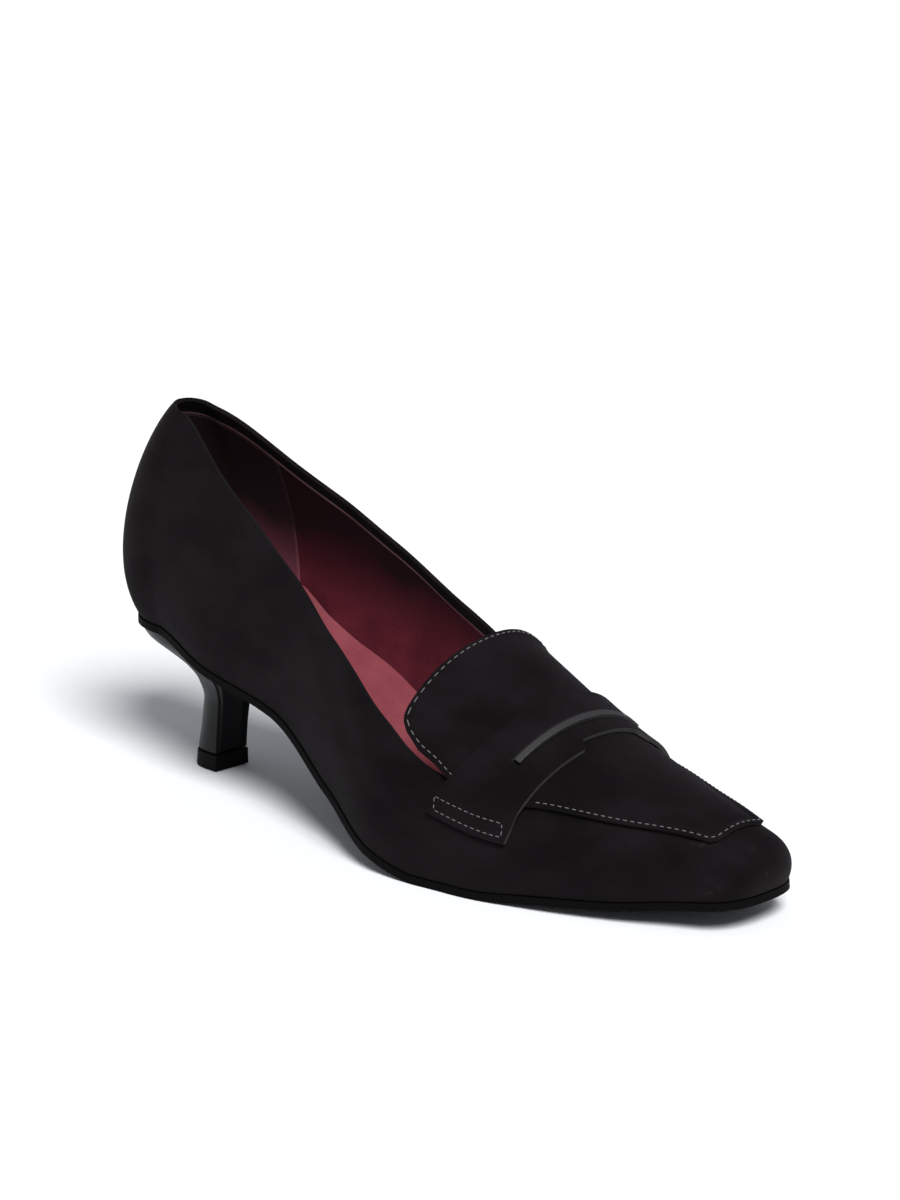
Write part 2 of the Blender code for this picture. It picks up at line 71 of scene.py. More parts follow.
def stand_camera():
    azimuth, elevation, roll = (math.radians(a) for a in (VIEW_AZIMUTH, VIEW_ELEVATION, VIEW_ROLL))
    back = Vector((
        math.sin(azimuth) * math.cos(elevation),
        -math.cos(azimuth) * math.cos(elevation),
        math.sin(elevation),
    ))
    level = Vector((math.cos(azimuth), math.sin(azimuth), 0))
    upright = back.cross(level)
    right = level * math.cos(roll) + upright * math.sin(roll)
    up = upright * math.cos(roll) - level * math.sin(roll)
    lens = bpy.data.cameras.new("portrait_camera")
    lens.sensor_fit = "HORIZONTAL"
    lens.sensor_width = SENSOR
    lens.lens = SENSOR * VIEW_DISTANCE / FRAME_WIDTH
    lens.clip_start = 0.05
    stand = bpy.data.objects.new("portrait_camera", lens)
    place = VIEW_TARGET + back * VIEW_DISTANCE
    turn = Matrix((right, up, back)).transposed().to_4x4()
    stand.matrix_world = Matrix.Translation(place) @ turn
    bpy.context.scene.collection.objects.link(stand)
    bpy.context.scene.camera = stand
    print("lens in mm", round(lens.lens, 1))


stand_camera()

# %% [markdown]
# ## Writing finishes as sums
#
# Wiring Math nodes by hand hides what is being worked out, so a small class wraps one socket and lets
# + - and * build those nodes. A value that varies is then an expression, such as 1 - worn * 0.3.


# %% Wrap a socket
class Wire:
    """One output of a node, which grows Math nodes when it is used in arithmetic."""

    def __init__(self, bench, socket):
        self.bench = bench
        self.socket = socket

    def math(self, operation, first, second):
        return self.bench.node("ShaderNodeMath", {"operation": operation}, {0: first, 1: second})

    def __add__(self, other):
        return self.math("ADD", self, other)

    __radd__ = __add__

    def __rsub__(self, other):
        return self.math("SUBTRACT", other, self)

    def __mul__(self, other):
        return self.math("MULTIPLY", self, other)

    __rmul__ = __mul__


# %% Give each finish a workbench
class Finish:
    """A material with one Principled BSDF, and the nodes that feed it."""

    def __init__(self, name, viewport_colour):
        self.material = bpy.data.materials.new(name)
        self.material.use_nodes = True
        self.material.diffuse_color = (*viewport_colour, 1)
        self.tree = self.material.node_tree
        self.shader = self.tree.nodes["Principled BSDF"]

    def connect(self, socket, value):
        if isinstance(value, Wire):
            self.tree.links.new(value.socket, socket)
        else:
            socket.default_value = value

    def node(self, kind, settings=None, inputs=None, output=0):
        """Any node: its settings are set first, then the values or wires of its sockets."""
        node = self.tree.nodes.new(kind)
        for key, value in (settings or {}).items():
            setattr(node, key, value)
        for key, value in (inputs or {}).items():
            self.connect(node.inputs[key], value)
        return Wire(self, node.outputs[output])

    def mix(self, factor, first, second):
        """A colour between two, by a factor."""
        settings = {"data_type": "RGBA", "blend_type": "MIX"}
        return self.node("ShaderNodeMix", settings, {0: factor, 6: first, 7: second}, output=2)

    def stretched(self, scale):
        """The place on the object, stretched along its three axes."""
        place = self.node("ShaderNodeTexCoord", output="Object")
        return self.node("ShaderNodeVectorMath", {"operation": "MULTIPLY"}, {0: place, 1: scale})

    def noise(self, size, detail=3.0, roughness=0.55, stretch=(1, 1, 1)):
        """Cloudy noise from 0 to 1, whose patches are about size across, in metres."""
        inputs = {
            "Vector": self.stretched(stretch), "Scale": 1 / size,
            "Detail": detail, "Roughness": roughness,
        }
        return self.node("ShaderNodeTexNoise", {}, inputs)

    def pebbles(self, size):
        """Distance from the middle of rounded cells, about size across."""
        settings = {"feature": "SMOOTH_F1"}
        inputs = {"Vector": self.stretched((1, 1, 1)), "Scale": 1 / size, "Smoothness": 0.35}
        return self.node("ShaderNodeTexVoronoi", settings, inputs)

    def along(self, direction):
        """How far a place lies along a direction."""
        place = self.node("ShaderNodeTexCoord", output="Object")
        settings = {"operation": "DOT_PRODUCT"}
        return self.node("ShaderNodeVectorMath", settings, {0: place, 1: direction}, output="Value")

    def contrast(self, value, low, high):
        """Spread a value so that low gives 0 and high gives 1."""
        inputs = {"Value": value, "From Min": low, "From Max": high}
        return self.node("ShaderNodeMapRange", {"clamp": True}, inputs)

    def bump(self, height, depth, strength):
        inputs = {"Height": height, "Distance": depth, "Strength": strength}
        return self.node("ShaderNodeBump", {}, inputs)

    def feed(self, **values):
        """Set the shader's sockets; an underscore in a name stands for a space."""
        for name, value in values.items():
            self.connect(self.shader.inputs[name.replace("_", " ")], value)
        return self.material


# %% [markdown]
# ## Black suede
#
# Suede is the flesh side of leather, brushed to a nap. It drinks light, so its colour is almost black
# with a trace of warm purple, and it has no gloss, only a faint bloom where the fibres lean towards the
# light. The brushing leaves broad cloudy patches, a few centimetres long, and a fine fuzz under half a
# millimetre. A painted black would look like plastic, so all three scales are laid over one another.
# A few faint scuffs cross the toe, where shoes are knocked first.


# %% Mix the suede
SCUFFED_FROM, SCUFFED_TO = 0.185, 0.212     # the toe's front carries faint scuffs


def make_suede():
    suede = Finish("black_suede", (0.02, 0.018, 0.02))
    brushed = suede.contrast(suede.noise(0.022, 2.0, 0.5, (1.0, 1.3, 1.7)), 0.36, 0.66)
    fuzz = suede.noise(0.00042, 3.0, 0.7)
    tufts = suede.noise(0.0016, 2.0, 0.6)
    deep, lit = (0.0012, 0.0008, 0.0011, 1), (0.0078, 0.0056, 0.0071, 1)
    colour = suede.mix(brushed * 0.50 + fuzz * 0.33 + tufts * 0.17, deep, lit)
    streaks = suede.contrast(suede.noise(0.010, 4.0, 0.65, (0.8, 1.4, 2.4)), 0.62, 0.72)
    at_toe = suede.contrast(suede.along((1, 0, 0)), SCUFFED_FROM, SCUFFED_TO)
    colour = suede.mix(streaks * at_toe * 0.5, colour, (0.030, 0.027, 0.029, 1))
    height = fuzz * 0.6 + tufts * 0.4
    return suede.feed(
        Base_Color=colour, Roughness=0.95 - brushed * 0.06, Specular_IOR_Level=0.07,
        Sheen_Weight=0.035, Sheen_Roughness=0.45, Sheen_Tint=(0.75, 0.66, 0.70, 1),
        Normal=suede.bump(height, 0.00028, 0.55),
    )


# %% [markdown]
# ## The cut edge of suede
#
# Where the strap and the topline are cut, the paler core of the leather shows as a thin greyish line.
# It could be painted with a mask, but the edge faces of a thickened sheet are already a material slot
# of their own, so on the strap the core is simply a second, lighter suede.


# %% Mix the cut edge
def make_cut_edge():
    edge = Finish("suede_cut_edge", (0.05, 0.045, 0.05))
    fibre = edge.noise(0.00035, 2.0, 0.7)
    colour = edge.mix(fibre, (0.008, 0.0065, 0.0075, 1), (0.028, 0.024, 0.026, 1))
    return edge.feed(Base_Color=colour, Roughness=0.82, Normal=edge.bump(fibre, 0.0001, 0.5))


# %% [markdown]
# ## Linings
#
# The quarters are lined with thin burgundy leather: a smooth grain with fine pores and a low sheen.
# Towards the topline its colour is darkened as painted shade, for the shadow that falls inside the
# collar. The heel grip is the same skin turned round, so it is duller and, below its painted shade,
# pinker. The sock on the insole is paler still, and takes the most light.


# %% Mix the linings
PAINTED_SHADE_SLOPE = (0.20, 0.0, 1.0)    # the band of painted shade falls a little to the toe
PAINTED_SHADE_BAND = (0.063, 0.083)       # where the painted shade starts to darken the lining and where it is darkest


def make_lining(name, deep, lit, roughness, pore, pore_depth, painted_shade=None):
    leather = Finish(name, lit[:3])
    cloud = leather.contrast(leather.noise(0.016, 3.0, 0.5), 0.34, 0.68)
    grain = leather.pebbles(pore)
    colour = leather.mix(cloud * 0.7 + grain * 0.3, deep, lit)
    # Painted shade: the colour darkens towards the topline, where shadow falls inside the collar.
    if painted_shade:
        shade_mask = leather.contrast(leather.along(PAINTED_SHADE_SLOPE) + cloud * 0.006, *PAINTED_SHADE_BAND)
        colour = leather.mix(shade_mask, colour, painted_shade)
    return leather.feed(
        Base_Color=colour, Roughness=roughness + 0.08 * grain, Specular_IOR_Level=0.15,
        Sheen_Weight=0.03, Sheen_Roughness=0.5, Sheen_Tint=(1.0, 0.60, 0.65, 1),
        Normal=leather.bump(1 - grain, pore_depth, 0.4),
    )


# %% [markdown]
# ## Smooth black leather and sole
#
# The heel is wrapped in smooth black leather, so it has a thin, uneven clear coat over a fine grain. The
# outsole and the top lift are hard rubber: black and satin. The strip in the slot is a greyer leather.


# %% Mix the smooth blacks
def make_smooth_black(name, base, roughness, gloss, grain_size, grain_depth):
    black = Finish(name, base)
    grain = black.pebbles(grain_size)
    smear = black.noise(0.012, 3.0, 0.6)
    lit = tuple(2.0 * channel for channel in base)
    colour = black.mix(smear * 0.6 + grain * 0.2, (*base, 1), (*lit, 1))
    return black.feed(
        Base_Color=colour, Roughness=roughness + 0.14 * smear, Specular_IOR_Level=gloss,
        Coat_Weight=gloss * 0.3 * (0.6 + 0.5 * smear), Coat_Roughness=0.16,
        Normal=black.bump(grain, grain_depth, 0.35),
    )


# %% [markdown]
# ## Thread
#
# The seams are sewn with grey twisted thread. Its twist is far finer than a stitch, so it is a slanted
# wave in the bump, and the thread has a low silky sheen that makes each stitch catch the light.


# %% Mix the thread
def make_thread(name, colour):
    thread = Finish(name, colour)
    twist = thread.node(
        "ShaderNodeTexWave", {"wave_type": "BANDS", "bands_direction": "DIAGONAL"},
        {"Vector": thread.stretched((1, 1, 1)), "Scale": 1 / 0.0009, "Distortion": 1.0},
    )
    dark = tuple(0.55 * channel for channel in colour)
    return thread.feed(
        Base_Color=thread.mix(twist, (*dark, 1), (*colour, 1)), Roughness=0.62,
        Sheen_Weight=0.2, Normal=thread.bump(twist, 0.0001, 0.6),
    )


# %% Make every finish once
SUEDE = make_suede()
CUT_EDGE = make_cut_edge()
# The last colour of the lining and of the heel grip is painted shade, laid towards the topline.
LINING = make_lining(
    "burgundy_lining", (0.062, 0.0075, 0.014, 1), (0.145, 0.020, 0.034, 1), 0.52, 0.0007, 0.00006,
    painted_shade=(0.0085, 0.0026, 0.0042, 1),
)
HEEL_GRIP = make_lining(
    "heel_grip_suede", (0.110, 0.022, 0.038, 1), (0.210, 0.056, 0.084, 1), 0.88, 0.0004, 0.00010,
    painted_shade=(0.0110, 0.0040, 0.0056, 1),
)
LINING_EDGE = make_lining(
    "lining_cut_edge", (0.022, 0.008, 0.010, 1), (0.060, 0.026, 0.028, 1), 0.75, 0.0004, 0.00004,
)
SOCK = make_lining(
    "sock_leather", (0.160, 0.031, 0.042, 1), (0.225, 0.051, 0.064, 1), 0.50, 0.0008, 0.00005,
)
WRAP = make_smooth_black("heel_wrap_leather", (0.0010, 0.0012, 0.0016), 0.28, 0.11, 0.0006, 0.00004)
SOLE = make_smooth_black("outsole_rubber", (0.0014, 0.0013, 0.0015), 0.60, 0.04, 0.0005, 0.00003)
LIFT = make_smooth_black("top_lift_rubber", (0.0012, 0.0012, 0.0014), 0.55, 0.06, 0.0005, 0.00005)
BINDING = make_smooth_black("slot_binding_leather", (0.0170, 0.0160, 0.0170), 0.50, 0.22, 0.0005, 0.00003)
THREAD = make_thread("grey_thread", (0.13, 0.122, 0.128))
print("finishes", len(bpy.data.materials))

# %% [markdown]
# ## The last
#
# A shoe takes its shape from a last, the form that it is pulled over. Ours is a fan of ribs round the
# back, ribs across the foot, and a fan of ribs round the toe. Each rib is one cubic curve that climbs
# from the feather edge, where upper and sole meet, up to the crest over heel, instep and toe. Shares of
# a few named sizes give the ribs, so a change of length or width moves everything that sits on it.

# %% Name the sizes of the last
SHOE_LENGTH = 0.252
BALL_WIDTH = 0.075
SEAT_HEIGHT = 0.0449
TOE_SPRING = 0.0075
INSTEP_DEPTH = 0.080
QUARTER_HEIGHT = 0.0665
BACK_RADIUS = 0.0264
BACK_TUCK = 0.0083
BACK_SWELL = 0.0074
TOE_RADIUS = 0.0109
TOE_TUCK = 0.0025
HEEL_TIP_SETBACK = 0.0340
BACK_ROUNDING, TOE_ROUNDING = 2.1, 2.62
BACK_HIP, BACK_CROWN = 0.30, 0.48

BACK_X = -HEEL_TIP_SETBACK
BACK_CENTRE = BACK_X + BACK_RADIUS
TOE_CENTRE = BACK_X + SHOE_LENGTH - TOE_RADIUS

# %% Write down the sections
def table(columns, *rows):
    """Rows whose values can be asked for by the name of their column."""
    kind = namedtuple("Row", columns)
    return tuple(kind(*row) for row in rows)


LAST = table(
    "at outer inner outer_tuck inner_tuck swell sway depth hip crown",
    (0.115, 0.329, 0.332, 0.085, 0.084, 0.071, 0.004, 0.869, 0.33, 0.35),
    (0.220, 0.364, 0.350, 0.054, 0.066, 0.050, -0.003, 0.910, 0.33, 0.48),
    (0.340, 0.371, 0.363, 0.044, 0.052, 0.058, 0.003, 0.950, 0.38, 0.53),
    (0.460, 0.431, 0.385, 0.030, 0.048, 0.079, -0.007, 1.008, 0.44, 0.63),
    (0.570, 0.511, 0.439, 0.021, 0.036, 0.075, -0.017, 0.845, 0.47, 0.63),
    (0.670, 0.510, 0.475, 0.028, 0.033, 0.058, 0.008, 0.642, 0.475, 0.61),
    (0.770, 0.456, 0.454, 0.036, 0.033, 0.045, 0.020, 0.446, 0.50, 0.62),
    (0.860, 0.363, 0.379, 0.035, 0.031, 0.040, 0.035, 0.329, 0.50, 0.63),
    (0.957, 0.238, 0.274, 0.039, 0.022, 0.027, 0.052, 0.217, 0.475, 0.635),
)
TREAD = table(
    "at rise spring",
    (0.000, 1.000, 0.00), (0.115, 0.971, 0.00), (0.220, 0.823, 0.00),
    (0.340, 0.681, 0.00), (0.460, 0.334, 0.00), (0.560, 0.084, 0.00),
    (0.630, 0.000, 0.00), (0.700, 0.000, 0.00), (0.780, 0.000, 0.24),
    (0.860, 0.000, 0.44), (0.930, 0.000, 0.77), (1.000, 0.000, 1.00),
)
TOPLINE = table(
    "at height",
    (0.03, 1.015), (0.10, 0.970), (0.19, 0.881), (0.28, 0.770),
    (0.36, 0.676), (0.43, 0.666), (0.50, 0.655), (0.57, 0.588),
    (0.61, 0.517), (0.64, 0.469), (0.665, 0.445), (0.69, 0.640),
    (0.71, 0.900),
)

# %% Name the thicknesses
FIT_GAP = 0.0003
APRON_THICKNESS = 0.0012
STRAP_THICKNESS = 0.0014
OUTSOLE_THICKNESS = 0.0022
INSOLE_THICKNESS = 0.0030
BOARD_THICKNESS = 0.0022    # what is left of the insole under the sock
UPPER_WALL = 0.0019
INSOLE_EDGE_GAP = 0.0009
SOLE_EDGE_PROUD = 0.0004


# %% [markdown]
# ## Reading the tables
#
# Between two rows of a table the value follows a curve that never overshoots them, so a flat tread
# stays flat and the waist doesn't bulge. Numpy reads thousands of places at once.


# %% Read a column at any share
def smooth(rows, column, share):
    at = np.array([row.at for row in rows])
    value = np.array([getattr(row, column) for row in rows])
    share = np.clip(share, at[0], at[-1])
    k = np.clip(np.searchsorted(at, share, side="right") - 1, 0, len(at) - 2)
    step = np.diff(at)
    slope = np.diff(value) / step
    same_way = slope[:-1] * slope[1:] > 0
    total = np.where(same_way, slope[:-1] + slope[1:], 1.0)
    inner = np.where(same_way, 2 * slope[:-1] * slope[1:] / total, 0.0)
    tangent = np.concatenate([slope[:1], inner, slope[-1:]])
    t = (share - at[k]) / step[k]
    ends = (2 * t**3 - 3 * t**2 + 1) * value[k] + (3 * t**2 - 2 * t**3) * value[k + 1]
    bends = (t**3 - 2 * t**2 + t) * tangent[k] + (t**3 - t**2) * tangent[k + 1]
    return ends + bends * step[k]


def share_at(x):
    return (x - BACK_X) / SHOE_LENGTH


def last_size(column, x):
    return smooth(LAST, column, share_at(x)) * BALL_WIDTH


def tread_height(x):
    share = share_at(x)
    return smooth(TREAD, "rise", share) * SEAT_HEIGHT + smooth(TREAD, "spring", share) * TOE_SPRING


def feather_height(x):
    return tread_height(x) + OUTSOLE_THICKNESS + FIT_GAP


def crest_height(x):
    return feather_height(x) + smooth(LAST, "depth", share_at(x)) * INSTEP_DEPTH


def topline_height(x):
    return feather_height(x) + smooth(TOPLINE, "height", share_at(x)) * QUARTER_HEIGHT


# %% Draw the ribs
Ribs = namedtuple("Ribs", "side centre turn")


def by_side(ribs, outer, inner):
    return np.where(ribs.side < 0, last_size(outer, ribs.centre), last_size(inner, ribs.centre))


def round_reach(turn, ahead, aside, rounding, taper):
    forward = np.abs(np.sin(turn)) / ahead
    sideways = np.abs(np.cos(turn)) / aside
    reach = 0.0 * forward
    for _ in range(5):
        narrowed = 1 - taper * ahead / aside * np.minimum(reach * forward, 1.0)
        reach = (forward**rounding + (sideways / narrowed) ** rounding) ** (-1 / rounding)
    return reach


def reaches(ribs):
    """How far the feather edge and the widest line lie from the crest."""
    aside = by_side(ribs, "outer", "inner")
    feather = aside - by_side(ribs, "outer_tuck", "inner_tuck")
    before = 0.006
    earlier = ribs._replace(centre=ribs.centre - before)
    taper = (by_side(earlier, "outer", "inner") - aside) / before
    behind = ribs.turn < 0
    ahead = np.where(behind, BACK_RADIUS, TOE_RADIUS)
    tucked = np.where(behind, BACK_RADIUS - BACK_TUCK, TOE_RADIUS - TOE_TUCK)
    rounding = np.where(behind, BACK_ROUNDING, TOE_ROUNDING)
    taper = np.where(behind, 0.0, taper)
    straight = ribs.turn == 0
    low = np.where(straight, feather, round_reach(ribs.turn, tucked, feather, rounding, taper))
    wide = np.where(straight, aside, round_reach(ribs.turn, ahead, aside, rounding, taper))
    return low, wide


def skin(ribs, climb):
    """Points on the last: climb runs from 0 at the feather edge to 1 at the crest."""
    feather, widest = reaches(ribs)
    share = share_at(ribs.centre)
    back = np.where(ribs.turn < 0, -np.sin(ribs.turn), 0.0)
    swell = last_size("swell", ribs.centre) * (1 - back) + BACK_SWELL * back
    hip = smooth(LAST, "hip", share) * (1 - back) + BACK_HIP * back
    crown = smooth(LAST, "crown", share) * (1 - back) + BACK_CROWN * back
    low = feather_height(ribs.centre + np.sin(ribs.turn) * feather)
    high = crest_height(ribs.centre)
    nudge = 0.001
    fall = (high - crest_height(ribs.centre - nudge)) / nudge
    shoulder = widest * crown
    reach = (feather, widest + swell, shoulder, 0.0)
    height = (low, low + hip * (high - low), high + fall * np.sin(ribs.turn) * shoulder, high)
    c = climb
    weight = ((1 - c) ** 3, 3 * c * (1 - c) ** 2, 3 * c * c * (1 - c), c**3)
    out = sum(w * r for w, r in zip(weight, reach))
    up = sum(w * h for w, h in zip(weight, height))
    x = ribs.centre + np.sin(ribs.turn) * out
    y = last_size("sway", ribs.centre) + ribs.side * np.cos(ribs.turn) * out
    return np.stack(np.broadcast_arrays(x, y, up), axis=-1)


def neighbour(ribs, way, step=0.0005, turn=0.01):
    """The ribs moved a little along the foot, or turned a little in a fan."""
    straight = ribs.turn == 0
    centre = ribs.centre + way * np.where(straight, step, 0)
    return ribs._replace(centre=centre, turn=ribs.turn + way * np.where(straight, 0, turn))


def skin_normal(ribs, climb):
    """The way off the skin."""
    nudge = 0.002
    climb = np.clip(climb, nudge, 1 - nudge)
    up = skin(ribs, climb + nudge) - skin(ribs, climb - nudge)
    along = skin(neighbour(ribs, 1), climb) - skin(neighbour(ribs, -1), climb)
    normal = np.cross(along, up)
    normal /= np.linalg.norm(normal, axis=-1, keepdims=True)
    turn = ribs.turn
    sideways = np.stack(np.broadcast_arrays(np.sin(turn), ribs.side * np.cos(turn), 0.0), axis=-1)
    level = climb[..., None]
    outward = sideways * (1 - level) + np.array((0, 0, 1.0)) * level
    return normal * np.sign(np.sum(normal * outward, axis=-1, keepdims=True))


def lifted(ribs, climb, lift):
    return skin(ribs, climb) + skin_normal(ribs, climb) * np.asarray(lift)[..., None]


# %% Find a climb by halving
def climb_where(test, low, high):
    """The climb where test turns true, for every rib at once."""
    for _ in range(30):
        middle = (low + high) / 2
        hit = test(middle)
        low, high = np.where(hit, low, middle), np.where(hit, middle, high)
    return high


def above_line(ribs, line):
    """A test for climb_where: is the skin over a line of heights along the shoe?"""
    def is_over(climb):
        point = skin(ribs, climb)
        return point[..., 2] > line(point[..., 0])

    return is_over


LOWEST_SEARCH = 0.245       # climb below which no part of the apron or strap lies


def climb_at_distance(ribs, distance):
    """Where ribs, above their widest points, are this far from the crest in plan."""
    sway = last_size("sway", ribs.centre)

    def is_inside(climb):
        point = skin(ribs, climb)
        return np.hypot(point[..., 0] - ribs.centre, point[..., 1] - sway) < distance

    return climb_where(is_inside, LOWEST_SEARCH, 1.0)


def over_plan(x, y, lift):
    """Points above the places x, y of the plan, standing off the last by lift."""
    centre = np.minimum(x, TOE_CENTRE)
    across = y - last_size("sway", centre)
    side = np.where(across < 0, -1.0, 1.0)
    turn = np.where(x > centre, np.arctan2(x - centre, np.abs(across)), 0.0)
    ribs = Ribs(side, centre, turn)
    distance = np.maximum(np.hypot(x - centre, across), 1e-6)
    return lifted(ribs, climb_at_distance(ribs, distance), lift)


# %% Set out the ribs of one side
FAN_RIBS = 26
RIB_SPACING = 0.0014


def side_ribs(side):
    """From the middle of the back, along the foot, to the tip of the toe."""
    count = int((TOE_CENTRE - BACK_CENTRE) / RIB_SPACING)
    centre = np.pad(np.linspace(BACK_CENTRE, TOE_CENTRE, count), FAN_RIBS, mode="edge")
    turns = math.pi / 2 * (np.arange(FAN_RIBS) + 1) / FAN_RIBS
    turn = np.concatenate([-turns[::-1], np.zeros(count), turns])
    return Ribs(np.full(len(centre), float(side)), centre, turn)


def join_ribs(first, second):
    """Two sides as one ring, without the ribs that both have at the back and the toe."""
    parts = zip(first, second)
    return Ribs(*(np.concatenate([a, b[-2:0:-1]]) for a, b in parts))


RING = join_ribs(side_ribs(-1), side_ribs(1))
print("ribs round the shoe", len(RING.centre))


# %% [markdown]
# ## From points to pieces
#
# Each sheet of leather is a grid of points. A helper joins it with faces, welds points that meet at
# the crest and hands it to the body it rides on. Thickness comes from Solidify, whose rim can take the
# cut edge's finish, and a small Bevel breaks the arris as a cutter's knife and a thumb do.


# %% Build a sheet from a grid
def grid_faces(rows, columns, closed=False):
    """Corner numbers of the faces between neighbouring points of a grid."""
    i = np.arange(rows if closed else rows - 1)[:, None]
    j = np.arange(columns - 1)[None, :]
    after = (i + 1) % rows
    corners = (i * columns + j, after * columns + j, after * columns + j + 1, i * columns + j + 1)
    return np.stack([np.broadcast_to(c, (len(i), columns - 1)) for c in corners], axis=-1)


def make_piece(name, points, faces, materials, replaces, weld=2e-6):
    """A named object that rides on the shoe and stands for some of its solids."""
    data = bpy.data.meshes.new(name)
    data.from_pydata([tuple(p) for p in points], [], [tuple(int(k) for k in f) for f in faces])
    build = bmesh.new()
    build.from_mesh(data)
    bmesh.ops.remove_doubles(build, verts=build.verts[:], dist=weld)
    bmesh.ops.dissolve_degenerate(build, edges=build.edges[:], dist=1e-7)
    loose = [vert for vert in build.verts if not vert.link_faces]
    bmesh.ops.delete(build, geom=loose, context="VERTS")
    build.to_mesh(data)
    build.free()
    for material in materials:
        data.materials.append(material)
    data.shade_smooth()
    piece = bpy.data.objects.new(name, data)
    bpy.context.scene.collection.objects.link(piece)
    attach(piece, "root")
    for node in replaces:
        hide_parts(node)
    return piece


def make_sheet(name, points, materials, node, closed=False, weld=2e-6, keep=...):
    """A piece from a grid of points, with all its faces or the ones to keep."""
    rows, columns = points.shape[:2]
    faces = grid_faces(rows, columns, closed)[keep].reshape(-1, 4)
    print(name, "points", rows * columns)
    return make_piece(name, points.reshape(-1, 3), faces, materials, [node], weld)


def make_plate(name, points, material, node):
    """A sheet whose faces are built looking down and are then turned over."""
    faces = grid_faces(*points.shape[:2])[..., ::-1].reshape(-1, 4)
    piece = make_piece(name, points.reshape(-1, 3), faces, [material], [node])
    piece.data.flip_normals()
    return piece


def thicken(piece, thickness, rim_slot=0):
    """Grow a sheet inwards, with its cut edge in another material slot."""
    solid = piece.modifiers.new("Thickness", "SOLIDIFY")
    solid.thickness = thickness
    solid.offset = -1
    solid.use_even_offset = False
    solid.material_offset_rim = rim_slot


def face_outwards(piece):
    """Turn every face of a closed mesh to look outwards."""
    build = bmesh.new()
    build.from_mesh(piece.data)
    bmesh.ops.recalc_face_normals(build, faces=build.faces[:])
    build.to_mesh(piece.data)
    build.free()
    piece.data.shade_smooth()


def ease_edges(piece, width, steps=3, angle=50):
    """Round the arrises and keep the flats flat."""
    bevel = piece.modifiers.new("Eased edges", "BEVEL")
    bevel.width = width
    bevel.segments = steps
    bevel.limit_method = "ANGLE"
    bevel.angle_limit = math.radians(angle)
    bevel.harden_normals = True
    piece.data.set_sharp_from_angle(angle=math.radians(180))


# %% [markdown]
# ## The upper
#
# Vamp and quarters are one sheet of suede, pulled over the last and left open at the collar. The ribs
# stop at the topline, and over the vamp they run to the crest. Leather that has been pulled and walked in
# a little is never perfectly even, so a few soft troughs are pressed in: along the waist of the outer
# quarter, at the throat, and across the vamp in front of the strap, where the foot bends.

# %% Place the creases
CREASES = table(
    "side x climb run rise length width depth",
    (-1, 0.072, 0.40, 0.92, -0.38, 0.030, 0.0060, 0.00045),
    (-1, 0.052, 0.62, 0.90, -0.44, 0.026, 0.0050, 0.00035),
    (-1, 0.100, 0.22, 0.97, -0.22, 0.024, 0.0055, 0.00035),
    (-1, 0.010, 0.30, 0.80, 0.60, 0.022, 0.0060, 0.00030),
    (-1, 0.165, 0.40, 0.60, 0.80, 0.012, 0.0045, 0.00030),
    (-1, 0.178, 0.34, 0.55, 0.83, 0.010, 0.0040, 0.00025),
    (1, 0.070, 0.42, 0.92, -0.38, 0.028, 0.0060, 0.00040),
    (1, 0.168, 0.40, 0.60, 0.80, 0.012, 0.0045, 0.00030),
)
CLIMB_LENGTH = 0.085        # a rib's length, for turning a climb into metres


def crease_depth(side, x, climb):
    """How far the leather is pressed in at each place: troughs between low ridges."""
    depth = 0.0 * x
    for crease in CREASES:
        ahead, above = x - crease.x, (climb - crease.climb) * CLIMB_LENGTH
        along = (ahead * crease.run + above * crease.rise) / crease.length
        aside = (above * crease.run - ahead * crease.rise) / crease.width
        wave = (1 - aside**2) * np.exp(-(aside**2) / 1.6)
        here = np.where(side == crease.side, crease.depth, 0.0)
        depth = depth + here * wave * np.exp(-(along**2))
    return depth


# %% Trim the ribs at the topline
TIERS = 70
OPEN_UP_TO = 0.0            # ribs that turn round the toe are never open


def topline_climb(ribs, below):
    """Where each rib meets the topline, or a line a little below it; 1 where it never does."""
    below = np.broadcast_to(below, ribs.centre.shape)
    is_over = above_line(ribs, lambda x: topline_height(x) - below)
    steps = np.linspace(0, 1, 61)
    hits = np.stack([is_over(np.full(ribs.centre.shape, s)) for s in steps])
    first = np.argmax(hits, axis=0)
    opened = hits.any(axis=0) & (ribs.turn <= OPEN_UP_TO)
    found = climb_where(is_over, steps[np.maximum(first - 1, 0)], steps[first])
    return np.where(opened, found, 1.0)


def climb_grid(top, tiers, bottom=0.0):
    """The same number of points up each rib, closer together near its two ends."""
    t = np.linspace(0, 1, tiers + 1)
    t = 0.5 * t + 0.5 * (0.5 - 0.5 * np.cos(math.pi * t))
    return bottom + (top - bottom)[:, None] * t[None, :]


def widen(ribs):
    return Ribs(*(value[:, None] for value in ribs))


# %% Pull the suede over the last
SUEDE_WALL = 0.0014
RIM_EASE = 0.00060
RIB_WELD = 5e-5             # joins the points where the ribs of a fan meet


def build_upper():
    ribs = widen(RING)
    climb = climb_grid(topline_climb(RING, 0.0), TIERS)
    points = skin(ribs, climb)
    points -= skin_normal(ribs, climb) * crease_depth(ribs.side, points[..., 0], climb)[..., None]
    piece = make_sheet("upper_suede", points, [SUEDE], "upper", True, RIB_WELD)
    thicken(piece, SUEDE_WALL)
    ease_edges(piece, RIM_EASE)


build_upper()

# %% [markdown]
# ## Lining and heel grip
#
# Inside, the suede is folded over and shows as a black band, about 5 mm deep at the back and 3 mm along
# the sides. The burgundy lining starts under it, and its cut edge shows as a fine line. Another sheet,
# the heel grip, lies over the lining round the heel and ends in an upright edge. Both are drawn on the
# same ribs, pushed inwards, so that they follow the upper everywhere.

